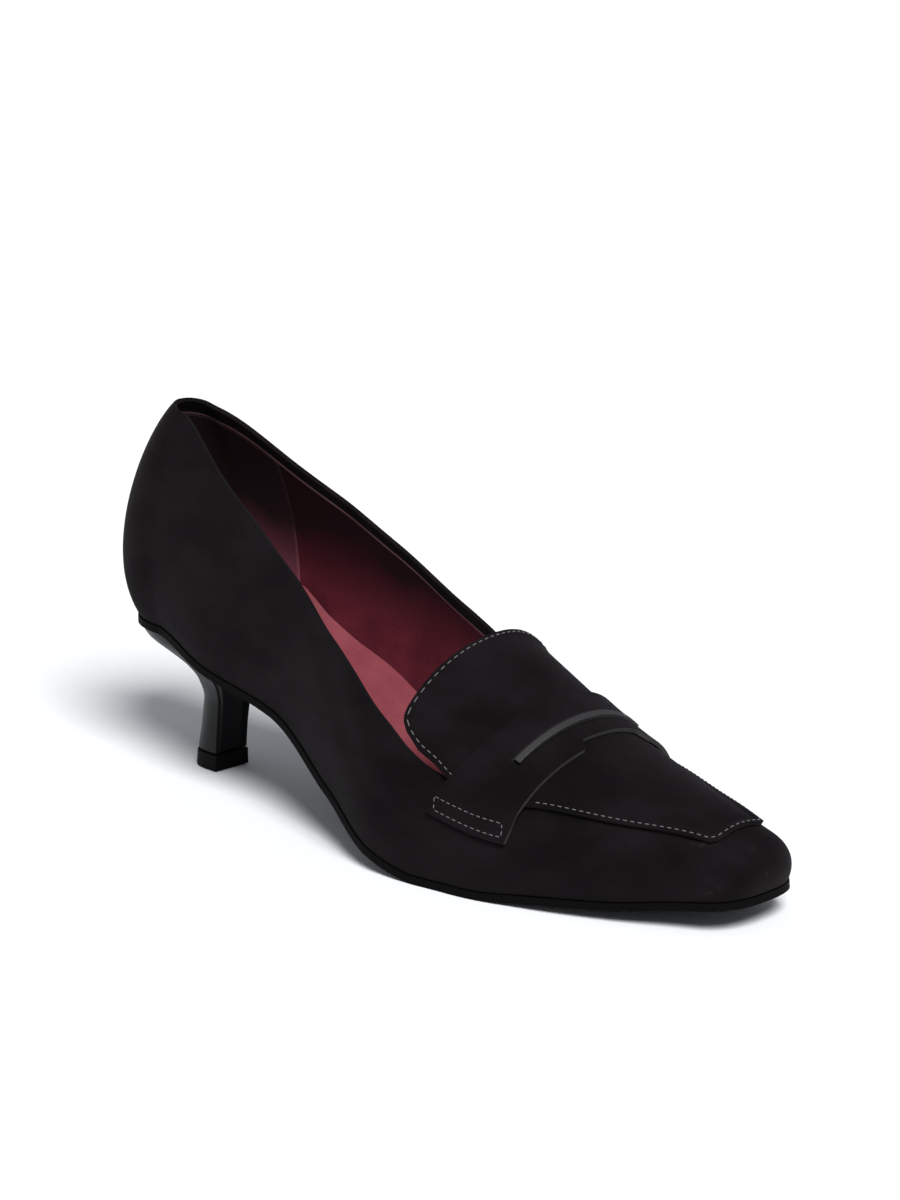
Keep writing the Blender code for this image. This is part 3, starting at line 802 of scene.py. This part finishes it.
# %% Line the inside
LINING_THICKNESS = 0.0006
GRIP_THICKNESS = 0.0004
LINING_FOOT = 0.02          # climb at which the sheets start, hidden behind the insole board
GRIP_END = 0.195            # share of the length where the heel grip ends
GRIP_DROP = 0.0006          # the grip starts this far below the lining
SHEET_GAP = 0.00005         # between one sheet and the next
SHEET_TIERS = 48
BAND = table("at depth", (0.00, 0.0050), (0.10, 0.0046), (0.20, 0.0036), (0.35, 0.0034), (0.70, 0.0032))


def inside_sheet(name, ribs, inset, thickness, material, closed, drop=0.0):
    band = smooth(BAND, "depth", share_at(ribs.centre)) + drop
    climb = climb_grid(topline_climb(ribs, band), SHEET_TIERS, LINING_FOOT)
    points = lifted(widen(ribs), climb, -inset)
    materials = [material, LINING_EDGE]
    piece = make_sheet(name, points, materials, "upper", closed, RIB_WELD)
    thicken(piece, thickness, rim_slot=1)


def build_linings():
    inset = SUEDE_WALL + SHEET_GAP
    inside_sheet("quarter_lining", RING, inset, LINING_THICKNESS, LINING, True)
    end = BACK_X + GRIP_END * SHOE_LENGTH
    outer, inner = side_ribs(-1), side_ribs(1)
    count = int(np.sum(outer.centre <= end))
    around = Ribs(*(np.concatenate([a[count:0:-1], b[:count]]) for a, b in zip(outer, inner)))
    inset += LINING_THICKNESS + SHEET_GAP
    inside_sheet("heel_grip", around, inset, GRIP_THICKNESS, HEEL_GRIP, False, GRIP_DROP)
    print("heel grip ribs", len(around.centre))


build_linings()

# %% [markdown]
# ## Sock and outsole
#
# Board and outsole are flat plates that follow the tread, from one outline moved in or out. The sock is
# a soft padded sheet over the board. Round the heel and along the waist it turns up against the lining,
# like a shallow cup, and it lies flat under the vamp, so its edges are set at a height from a table.


# %% Cut a sole layer
def sole_points(grow, lift, strips=24):
    """A plate's upper face: strips across, from the outer edge to the inner one."""
    ends = []
    for ribs in (side_ribs(-1), side_ribs(1)):
        reach = reaches(ribs)[0] + grow
        x = ribs.centre + np.sin(ribs.turn) * reach
        y = last_size("sway", ribs.centre) + ribs.side * np.cos(ribs.turn) * reach
        ends.append(np.stack([x, y], axis=-1))
    t = np.linspace(0, 1, strips + 1)[None, :, None]
    flat = ends[0][:, None, :] * (1 - t) + ends[1][:, None, :] * t
    z = tread_height(flat[..., 0]) + lift
    return np.concatenate([flat, z[..., None]], axis=-1)


def build_sole_layer(name, node, grow, top, thickness, material, ease):
    piece = make_plate(name, sole_points(grow, top), material, node)
    thicken(piece, thickness)
    ease_edges(piece, ease)


def build_soles():
    board_top = OUTSOLE_THICKNESS + FIT_GAP + BOARD_THICKNESS
    build_sole_layer(
        "insole_board", "insole", -UPPER_WALL - INSOLE_EDGE_GAP, board_top, BOARD_THICKNESS,
        SOCK, 0.0004,
    )
    build_sole_layer(
        "outsole_plate", "outsole", SOLE_EDGE_PROUD, OUTSOLE_THICKNESS, OUTSOLE_THICKNESS,
        SOLE, 0.0005,
    )


build_soles()

# %% Turn the sock up at its sides
SOCK_THICKNESS = 0.0006
SOCK_INSET = 0.0031         # sock's face inside the upper's outer skin
CUP = table(
    "at rise",
    (0.00, 0.0100), (0.12, 0.0120), (0.20, 0.0124), (0.25, 0.0068), (0.31, 0.0026),
    (0.40, 0.0006), (0.50, 0.0004), (0.60, 0.0003), (1.00, 0.0002),
)
CUP_POWER = 3
SOCK_SEARCH = 0.6           # the sock's edge lies below this climb
CUP_RUN = 0.024             # from the wall to where the sock lies flat


def sock_edge(ribs):
    """Where the sock ends against the wall."""
    rise = INSOLE_THICKNESS + smooth(CUP, "rise", share_at(ribs.centre))
    is_over = above_line(ribs, lambda x: feather_height(x) + rise)
    return lifted(ribs, climb_where(is_over, 0.0, SOCK_SEARCH), -SOCK_INSET)


def sock_height(points, rim):
    """The board's height, rising to the height of the nearest place of the rim."""
    offset = points[..., None, :2] - rim[:, :2]
    gap = np.linalg.norm(offset, axis=-1)
    nearest = gap.argmin(axis=-1)
    rim_rise = rim[:, 2] - feather_height(rim[:, 0]) - INSOLE_THICKNESS
    near_rim = np.clip(1 - gap.min(axis=-1) / CUP_RUN, 0, 1) ** CUP_POWER
    return feather_height(points[..., 0]) + INSOLE_THICKNESS + rim_rise[nearest] * near_rim


def build_sock():
    outer, inner = sock_edge(side_ribs(-1)), sock_edge(side_ribs(1))
    t = np.linspace(-1, 1, 41)
    t = np.sin(math.pi / 2 * t)[None, :, None]
    points = outer[:, None] * (1 - t) / 2 + inner[:, None] * (1 + t) / 2
    points[..., 2] = sock_height(points, np.concatenate([outer, inner]))
    thicken(make_plate("insole_sock", points, SOCK, "insole"), SOCK_THICKNESS)


build_sock()

# %% [markdown]
# ## Heel and top lift
#
# The kitten heel flares from a narrow column into the seat. Each section is a flat-fronted D, and the
# leather wrap stands a little proud along the two upright edges of the breast, where it is folded
# round. A stack of such sections gives both the flare and that raised lip. The top lift is the same
# section with a small step, in rubber.

# %% Write down the heel
HEEL_WIDTH = 0.0375
HEEL_DEPTH = 0.0372
BREAST_LEAN = 0.0058
TOP_LIFT_HEIGHT = 0.0052
TOP_LIFT_STEP = 0.0003
WRAP_LIP = 0.00055          # wrap's folded edge ahead of the breast
WRAP_LIP_WIDTH = 0.0016
HEEL_SEATING = 0.0004       # the block runs up into the sole, so that no light shows between them
HEEL = table(
    "at width depth lean rounding",
    (0.00, 0.345, 0.325, 0.00, 3.0), (0.12, 0.340, 0.312, 0.02, 3.0),
    (0.30, 0.340, 0.288, 0.13, 2.8), (0.50, 0.355, 0.285, 0.33, 2.6),
    (0.64, 0.435, 0.365, 0.52, 2.6), (0.75, 0.590, 0.515, 0.66, 2.7),
    (0.84, 0.790, 0.720, 0.79, 2.8), (0.92, 0.955, 0.910, 0.91, 2.9),
    (1.00, 1.000, 1.000, 1.00, 3.0),
)


# %% Draw a section of the heel
def heel_outline(share, grow, lip):
    half = smooth(HEEL, "width", share) * HEEL_WIDTH / 2 + grow
    depth = smooth(HEEL, "depth", share) * HEEL_DEPTH + 2 * grow
    power = 2 / smooth(HEEL, "rounding", share)
    breast = HEEL[0].depth * HEEL_DEPTH / 2 + smooth(HEEL, "lean", share) * BREAST_LEAN + grow
    angle = np.linspace(0, math.pi, 61)
    x = breast - depth * np.sin(angle).clip(0) ** power
    y = -half * np.sign(np.cos(angle)) * np.abs(np.cos(angle)) ** power
    across = np.linspace(half, -half, 31)[1:-1]
    from_edge = half - np.abs(across)
    inset = lip * (1 / (1 + np.exp(-(from_edge - WRAP_LIP_WIDTH) / (0.15 * WRAP_LIP_WIDTH))))
    return np.concatenate([x, breast - inset]), np.concatenate([y, across])


def heel_mesh(name, node, shares, height, grow, lip, material, ease):
    rings = []
    for share in shares:
        x, y = heel_outline(share, grow, lip)
        rings.append(np.stack([x, y, height(share, x)], axis=-1))
    rings = np.array(rings)
    count = rings.shape[1]
    closed = np.concatenate([rings, rings[:, :1]], axis=1)
    faces = list(grid_faces(len(rings), count + 1).reshape(-1, 4))
    points = closed.reshape(-1, 3)
    last = (len(rings) - 1) * (count + 1)
    faces.append(tuple(range(count)))
    faces.append(tuple(last + k for k in reversed(range(count))))
    piece = make_piece(name, points, faces, [material], [node])
    face_outwards(piece)
    ease_edges(piece, ease, angle=40)


def build_heel():
    lift_share = TOP_LIFT_HEIGHT / SEAT_HEIGHT
    foot = TOP_LIFT_HEIGHT + FIT_GAP

    def block_height(share, x):
        return foot + (tread_height(x) + HEEL_SEATING - foot) * (share - lift_share) / (1 - lift_share)

    def lift_height(share, x):
        return 0 * x + share / lift_share * TOP_LIFT_HEIGHT

    shares = np.linspace(lift_share, 1, 40)
    heel_mesh("heel_block", "heel", shares, block_height, 0.0, WRAP_LIP, WRAP, 0.00035)
    heel_mesh(
        "heel_top_lift", "top_lift", [0.0, lift_share], lift_height, TOP_LIFT_STEP, 0.0,
        LIFT, 0.0004,
    )


build_heel()

# %% [markdown]
# ## Apron and tongue
#
# The apron is laid over the vamp and runs back over the throat as a crowned tongue. It is drawn in
# plan, from named half widths, and every point is then lifted onto the last. Along its edge the suede
# is turned under and sewn, so the edge stands up as a soft ridge, with a shallow ditch inside it where
# the stitches pull the leather down.

# %% Name the apron's shape
APRON_FRONT_SETBACK = 0.0100
APRON_CORNER = 0.0012
TONGUE_REAR = 0.1537
TONGUE_SWEEP = 0.0053
TONGUE_CORNER = 0.0080
TONGUE_BOW, TONGUE_CORNER_TURN, APRON_CORNER_TURN = 1.8, 50, 8
SEAM_INSET = 0.0008         # stitches from the apron's edge
SEAM_RIDGE, RIDGE_INSET, RIDGE_WIDTH = 0.00035, 0.0007, 0.0010
SEAM_DITCH, DITCH_INSET, DITCH_WIDTH = 0.00022, 0.0030, 0.0011
STITCH_PITCH = 0.0021
EDGE_STEP, SEAM_STEP = 0.00012, 0.0008  # between points of the edge, for its relief and for its seam
APRON = table(
    "at outer inner",
    (0.590, 0.436, 0.425), (0.640, 0.434, 0.430), (0.670, 0.440, 0.425),
    (0.715, 0.426, 0.400), (0.766, 0.362, 0.360), (0.843, 0.271, 0.272),
    (0.923, 0.170, 0.168), (0.962, 0.127, 0.125),
)


def apron_half(side, x):
    """Half the apron's width at x, on the outer side where side is below zero."""
    outer, inner = (smooth(APRON, column, share_at(x)) for column in ("outer", "inner"))
    return np.where(side < 0, outer, inner) * BALL_WIDTH


def apron_plan(along, across):
    """Places in plan: along runs from tongue to toe, across from -1, outer, to 1, inner."""
    size = np.abs(across)
    rear = BACK_X + TONGUE_REAR - TONGUE_SWEEP * size**TONGUE_BOW
    rear = rear + TONGUE_CORNER * size**TONGUE_CORNER_TURN
    front = BACK_X + SHOE_LENGTH - APRON_FRONT_SETBACK - APRON_CORNER * size**APRON_CORNER_TURN
    x = rear + (front - rear) * along
    return x, last_size("sway", np.minimum(x, TOE_CENTRE)) + across * apron_half(across, x)


def apron_edge(steps=240):
    """The apron's edge in plan, all the way round from the outer rear corner."""
    t = np.linspace(0, 1, steps)
    corner_spread = np.sin(math.pi / 2 * (2 * t - 1))
    sides = [apron_plan(t, -1 + 0 * t), apron_plan(1 + 0 * t, corner_spread)]
    sides += [apron_plan(1 - t, 1 + 0 * t), apron_plan(0 * t, -corner_spread)]
    return np.concatenate([np.stack(side, axis=-1)[:-1] for side in sides])


def walked(points):
    """The way walked at each point of a line; its first columns, up to three, are places."""
    steps = np.linalg.norm(np.diff(points[:, :3], axis=0), axis=1)
    return np.concatenate([[0], np.cumsum(steps)])


def even_path(points, step, closed=False):
    """Walk along a line of points in equal steps; any further columns come along."""
    if closed:
        points = np.concatenate([points, points[:1]])
    run = walked(points)
    count = max(int(round(run[-1] / step)), 2)
    goal = np.linspace(0, run[-1], count + 1)
    return np.stack([np.interp(goal, run, column) for column in points.T], axis=-1)


# %% Measure how far a place is from the edge
def edge_distance(x, y, edge):
    """Shortest distance in plan to a line of points."""
    places = np.stack([x.ravel(), y.ravel()], axis=-1)
    best = np.full(len(places), 1.0)
    for start in range(0, len(edge), 64):
        gap = np.linalg.norm(places[:, None, :] - edge[None, start:start + 64, :], axis=-1)
        best = np.minimum(best, gap.min(axis=1))
    return best.reshape(x.shape)


def seam_relief(distance):
    """Height of a turned and stitched edge, by the distance from it."""
    crown = SEAM_RIDGE * np.exp(-(((distance - RIDGE_INSET) / RIDGE_WIDTH) ** 2))
    pull = SEAM_DITCH * np.exp(-(((distance - DITCH_INSET) / DITCH_WIDTH) ** 2))
    return crown - pull


# %% Lay the apron on the vamp
APRON_TOP = FIT_GAP + APRON_THICKNESS


def build_apron():
    along = np.linspace(0, 1, 171)[:, None]
    across = np.linspace(-1, 1, 101)[None, :]
    x, y = apron_plan(along, across)
    edge = even_path(apron_edge(), EDGE_STEP, closed=True)
    relief = seam_relief(edge_distance(x, y, edge))
    points = over_plan(x, y, APRON_TOP + relief)
    piece = make_sheet("apron_tongue", points, [SUEDE], "apron")
    thicken(piece, APRON_THICKNESS)
    ease_edges(piece, 0.00045)


build_apron()

# %% [markdown]
# ## Saddle strap
#
# The strap crosses the apron, and each end is a tab sewn down on the vamp. It steps down from the
# apron's thickness onto the vamp, so its height follows where it is. Between the slot and the rear edge
# it rises a little, and a smooth grey strip closes the slot's rear lip. The cut front edge has a small
# notch. A column falls on each end of the slot and the notch, so that those shapes stay crisp.

# %% Name the strap's shape
STRAP_REAR = 0.1760
STRAP_LENGTH = 0.0190
STRAP_REAR_SWEEP = 0.0133
STRAP_FRONT_SWEEP = 0.0065
STRAP_REAR_BOW, STRAP_FRONT_BOW, SLOT_BOW = 2.3, 1.6, 2.0
NOTCH_DEPTH, NOTCH_RUN = 0.0034, 0.06
NOTCH_OUTER_END, NOTCH_INNER_END = 0.20, 0.40
SLOT_FROM_REAR, SLOT_WIDTH = 0.0080, 0.0027
SLOT_SWEEP, SLOT_ARCH = 0.0022, 0.0009
SLOT_END, SLOT_ARCH_END, SLOT_LINE_FOLLOW = 0.53, 0.63, 0.45
STRAP_STEP_FROM, STRAP_STEP_RUN = 0.03, 0.09
TAB_END_CLIMB = 0.255
SLOT_STRIP_THICKNESS, SLOT_STRIP_PROUD = 0.0019, 0.0002
SLOT_STRIP_END = SLOT_END - 0.012       # column at which the strip ends, inside the slot
OVER_APRON = FIT_GAP + APRON_THICKNESS + FIT_GAP


def strap_lines(v):
    """X of the rear edge, the slot's two lips and the front edge at a column."""
    size = np.abs(v)
    line = BACK_X + STRAP_REAR
    rear = line - STRAP_REAR_SWEEP * size**STRAP_REAR_BOW
    slot = line + SLOT_FROM_REAR - SLOT_SWEEP * (size / SLOT_END) ** SLOT_BOW
    beyond = np.maximum(size - SLOT_END, 0) / (1 - SLOT_END)
    slot = slot - STRAP_REAR_SWEEP * SLOT_LINE_FOLLOW * beyond
    notch_end = np.where(v < 0, NOTCH_OUTER_END, NOTCH_INNER_END)
    notch = NOTCH_DEPTH * np.clip((notch_end - size) / NOTCH_RUN, 0, 1)
    front = line + STRAP_LENGTH - STRAP_FRONT_SWEEP * size**STRAP_FRONT_BOW - notch
    return rear, slot, slot + SLOT_WIDTH, front


def strap_ribs(v, x):
    side = np.where(v < 0, -1.0, 1.0) + 0 * x
    return Ribs(side, x + 0 * side, 0 * x), 1 - (1 - TAB_END_CLIMB) * np.abs(v) + 0 * x


def strap_lift(ribs, climb):
    """Height of the strap's underside, stepping down from the apron to the vamp."""
    edge = climb_at_distance(ribs, apron_half(ribs.side, ribs.centre))
    down = np.clip((edge - STRAP_STEP_FROM - climb) / STRAP_STEP_RUN, 0, 1)
    down = down * down * (3 - 2 * down)
    return FIT_GAP + (OVER_APRON - FIT_GAP) * (1 - down)


def strap_points(v, x, arch, above):
    """Points above the strap's underside; arch is their share of the rise towards the slot."""
    ribs, climb = strap_ribs(v, x)
    swell = SLOT_ARCH * arch * np.maximum(0.0, 1 - (v / SLOT_ARCH_END) ** 2)
    return lifted(ribs, climb, strap_lift(ribs, climb) + swell + above)


# %% Cut the strap
def strap_columns():
    """Places across the strap from -1 to 1, with one on each end of slot and notch."""
    marks = (0.0, NOTCH_OUTER_END, NOTCH_INNER_END, SLOT_END, 1.0)
    counts = (20, 15, 8, 30)
    half = [np.linspace(a, b, n, endpoint=False) for a, b, n in zip(marks, marks[1:], counts)]
    half = np.concatenate(half + [[1.0]])
    return np.concatenate([-half[:0:-1], half])


def build_strap():
    v = strap_columns()[None, :]
    rear, lip, slot_front, front = strap_lines(v)
    behind = np.linspace(0, 1, 17)[:, None]
    ahead = np.linspace(0, 1, 13)[:, None]
    x = np.concatenate([rear + (lip - rear) * behind, slot_front + (front - slot_front) * ahead])
    arch = np.concatenate([behind + 0 * rear, 0 * ahead + 0 * rear])
    points = strap_points(v + 0 * x, x, arch, STRAP_THICKNESS)
    middle = (v[0, :-1] + v[0, 1:]) / 2
    keep = np.ones((points.shape[0] - 1, points.shape[1] - 1), bool)
    keep[len(behind) - 1] = np.abs(middle) > SLOT_END
    materials = [SUEDE, CUT_EDGE]
    piece = make_sheet("saddle_strap_suede", points, materials, "saddle_strap", keep=keep)
    thicken(piece, STRAP_THICKNESS, rim_slot=1)
    ease_edges(piece, 0.00022, steps=2)


def build_slot_strip():
    v = np.linspace(-SLOT_STRIP_END, SLOT_STRIP_END, 81)
    lip = strap_lines(v)[1]
    top = STRAP_THICKNESS + SLOT_STRIP_PROUD
    near, far = FIT_GAP, FIT_GAP + SLOT_STRIP_THICKNESS
    corners = ((near, 0.0, 0.0), (far, 0.0, 0.0), (far, 1.0, top), (near, 1.0, top))
    rows = np.array([strap_points(v, lip + ahead, arch + 0 * v, above) for ahead, arch, above in corners])
    faces = list(grid_faces(4, len(v), closed=True).reshape(-1, 4))
    faces.append(tuple(k * len(v) for k in range(4)))
    faces.append(tuple(k * len(v) + len(v) - 1 for k in reversed(range(4))))
    piece = make_piece("slot_binding", rows.reshape(-1, 3), faces, [BINDING], ["slot_strip"])
    face_outwards(piece)
    ease_edges(piece, 0.00025, angle=35)


build_strap()
build_slot_strip()

# %% [markdown]
# ## Stitches
#
# A lockstitch shows as short bars of thread, each dipping into the leather at both ends. One stitch is
# modelled as a bent capsule and copied along every seam, a few hundred in all, joined into one mesh for
# each seam. Real thread was chosen over a bump because the row stands proud at the apron's edge, where
# it makes the outline.

# %% Shape one stitch
STITCH_LENGTH = 0.72        # share of the pitch that shows
THREAD_RADIUS = 0.00016
STITCH_RINGS = 7
STITCH_SIDES = 8


def stitch_shape():
    """Rings of a bar along +X with its ends dipping, one metre long and one metre thick."""
    t = np.linspace(-1, 1, STITCH_RINGS)[:, None]
    angle = 2 * math.pi * np.arange(STITCH_SIDES) / STITCH_SIDES
    swell = np.sqrt(np.maximum(1 - np.abs(t) ** 3, 0.03))
    up = swell * np.sin(angle) - 0.9 * np.abs(t) ** 2.5
    rings = np.stack(np.broadcast_arrays(t / 2, swell * np.cos(angle), up), axis=-1)
    ring, side = np.indices((STITCH_RINGS - 1, STITCH_SIDES))
    low, after = ring * STITCH_SIDES, (side + 1) % STITCH_SIDES
    high = low + STITCH_SIDES
    faces = np.stack([low + side, low + after, high + after, high + side], axis=-1)
    return rings.reshape(-1, 3), faces.reshape(-1, 4)


def sew(name, points, normals, node, radius=THREAD_RADIUS):
    """Lay a stitch between each two neighbours of an evenly spaced path."""
    shape, shape_faces = stitch_shape()
    bars, faces, ends = [], [], []
    for k in range(len(points) - 1):
        step = points[k + 1] - points[k]
        length = np.linalg.norm(step)
        along = step / length
        up = normals[k] + normals[k + 1]
        up -= along * np.dot(up, along)
        up /= np.linalg.norm(up)
        aside = np.cross(up, along)
        bar = (points[k] + points[k + 1]) / 2 + shape[:, :1] * length * STITCH_LENGTH * along
        bars.append(bar + shape[:, 1:2] * radius * aside + shape[:, 2:3] * radius * up)
        start, stop = k * len(shape), (k + 1) * len(shape)
        faces += list(shape_faces + start)
        ends.append(tuple(start + s for s in reversed(range(STITCH_SIDES))))
        ends.append(tuple(range(stop - STITCH_SIDES, stop)))
    make_piece(name, np.concatenate(bars), faces + ends, [THREAD], [node], weld=1e-9)
    print(name, "stitches", len(bars))


# %% Sew the apron's seam and the tongue
COLUMN_AT_APRON_EDGE = 0.62     # column of the strap where it passes the apron's edge
HIDDEN_UNDER = 0.0005           # stitches this far under the strap are left out


def inset_path(edge, distance):
    """The edge moved inwards in plan; the edge runs anticlockwise seen from above."""
    ahead = np.roll(edge, -3, axis=0) - np.roll(edge, 3, axis=0)
    ahead /= np.linalg.norm(ahead, axis=1, keepdims=True)
    return edge + np.stack([-ahead[:, 1], ahead[:, 0]], axis=-1) * distance


def plan_normal(x, y):
    low, high = over_plan(x, y, 0.0), over_plan(x, y, 0.001)
    return (high - low) / 0.001


def sew_apron():
    edge = even_path(apron_edge(), SEAM_STEP, closed=True)[:-1]
    path = even_path(inset_path(edge, SEAM_INSET), STITCH_PITCH, closed=True)
    x, y = path[:, 0], path[:, 1]
    aside = y - last_size("sway", x)
    rear, _, _, front = strap_lines(aside / apron_half(aside, x) * COLUMN_AT_APRON_EDGE)
    lift = APRON_TOP + SEAM_RIDGE
    points, normals = over_plan(x, y, lift), plan_normal(x, y)
    hidden = (x > rear + HIDDEN_UNDER) & (x < front - HIDDEN_UNDER)
    runs = np.split(np.arange(len(x)), np.flatnonzero(hidden))
    runs = [run[~hidden[run]] for run in runs]
    for number, run in enumerate(run for run in runs if len(run) > 2):
        sew(f"apron_thread_{number}", points[run], normals[run], "apron")


sew_apron()


# %% Sew the tabs down
TAB_ROWS = (0.0016, 0.0052)     # rows of stitches above the tab's lower edge
TAB_SIDE_INSET = 0.0016
TAB_COLUMN = 0.97               # column of the strap that gives the tab's rear and front
TAB_REACH = 0.3                 # climb above the lower edge within which the rows lie
TAB_THREAD_SHARE = 0.9          # of the apron's thread
THREAD_LIFT = 0.00005


def tab_place(side, x, rise):
    """A place of the tab, this far up from its lower edge, and the way off it."""
    rib = Ribs(np.array([float(side)]), np.array([x]), np.array([0.0]))
    climb = np.linspace(TAB_END_CLIMB, TAB_END_CLIMB + TAB_REACH, 40)
    line = skin(Ribs(*(value.repeat(len(climb)) for value in rib)), climb)
    climb = np.interp([rise], walked(line), climb)
    lift = strap_lift(rib, climb) + STRAP_THICKNESS + THREAD_LIFT
    return np.concatenate([lifted(rib, climb, lift)[0], skin_normal(rib, climb)[0]])


def tab_path():
    """A box of stitches: two rows, joined near the tab's rear and front edges."""
    rear, _, _, front = strap_lines(np.array([TAB_COLUMN]))
    start, end = rear[0] + TAB_SIDE_INSET, front[0] - TAB_SIDE_INSET
    low, high = TAB_ROWS
    corners = np.array([(start, high), (start, low), (end, low), (end, high), (start, high)])
    path = [corners[:1]]
    for first, last, count in zip(corners, corners[1:], (7, 29, 7, 29)):
        path.append(first + (last - first) * np.linspace(0, 1, count + 1)[1:, None])
    return np.concatenate(path)


def sew_tab(side, name):
    places = np.array([tab_place(side, x, rise) for x, rise in tab_path()])
    even = even_path(places, STITCH_PITCH)
    sew(name, even[:, :3], even[:, 3:], "saddle_strap", THREAD_RADIUS * TAB_THREAD_SHARE)


sew_tab(-1, "outer_tab_thread")
sew_tab(1, "inner_tab_thread")

# %% [markdown]
# ## Floor and light
#
# A studio lights such a shoe under a big white sail on a white sweep: the ground burns out to white and
# only a soft bluish shadow stays under the arch and behind the heel. The sail hangs before the toe. A
# very wide sun stands for it, because a sun lights the ground evenly as far as one can see. The bluish
# air round it fills the shadows.

# %% Set the floor
FLOOR_HALF = 400.0          # metres, so far that its end never shows
FLOOR_DROP = 0.0002         # below the shoe, so that the faces don't flicker


def build_floor():
    data = bpy.data.meshes.new("studio_floor")
    corners = [(-1, -1), (1, -1), (1, 1), (-1, 1)]
    points = [(x * FLOOR_HALF, y * FLOOR_HALF, -FLOOR_DROP) for x, y in corners]
    data.from_pydata(points, [], [(0, 1, 2, 3)])
    paper = Finish("pale_floor", (0.9, 0.9, 0.9))
    grain = paper.noise(0.004, 2.0)
    paper.feed(
        Base_Color=paper.mix(grain, (0.86, 0.87, 0.885, 1), (0.89, 0.895, 0.905, 1)), Roughness=0.85,
        Specular_IOR_Level=0.1,
    )
    data.materials.append(paper.material)
    floor = bpy.data.objects.new("studio_floor", data)
    bpy.context.scene.collection.objects.link(floor)


build_floor()


# %% Hang the lights
SAIL_ENERGY = 4.1
SAIL_SPREAD = math.radians(26)
SAIL_TOWARD = Vector((0.80, -0.45, 1.0))
AIR_COLOUR, AIR_STRENGTH = (0.90, 0.94, 1.0, 1), 0.31


def light_studio():
    sky = bpy.data.lights.new("overhead_sail", "SUN")
    sky.energy, sky.angle = SAIL_ENERGY, SAIL_SPREAD
    sail = bpy.data.objects.new("overhead_sail", sky)
    sail.rotation_euler = SAIL_TOWARD.to_track_quat("Z", "Y").to_euler()
    bpy.context.scene.collection.objects.link(sail)
    world = bpy.data.worlds.new("studio_air")
    world.use_nodes = True
    air = world.node_tree.nodes["Background"].inputs
    air["Color"].default_value, air["Strength"].default_value = AIR_COLOUR, AIR_STRENGTH
    bpy.context.scene.world = world
    bpy.context.scene.view_settings.view_transform = "Standard"


light_studio()
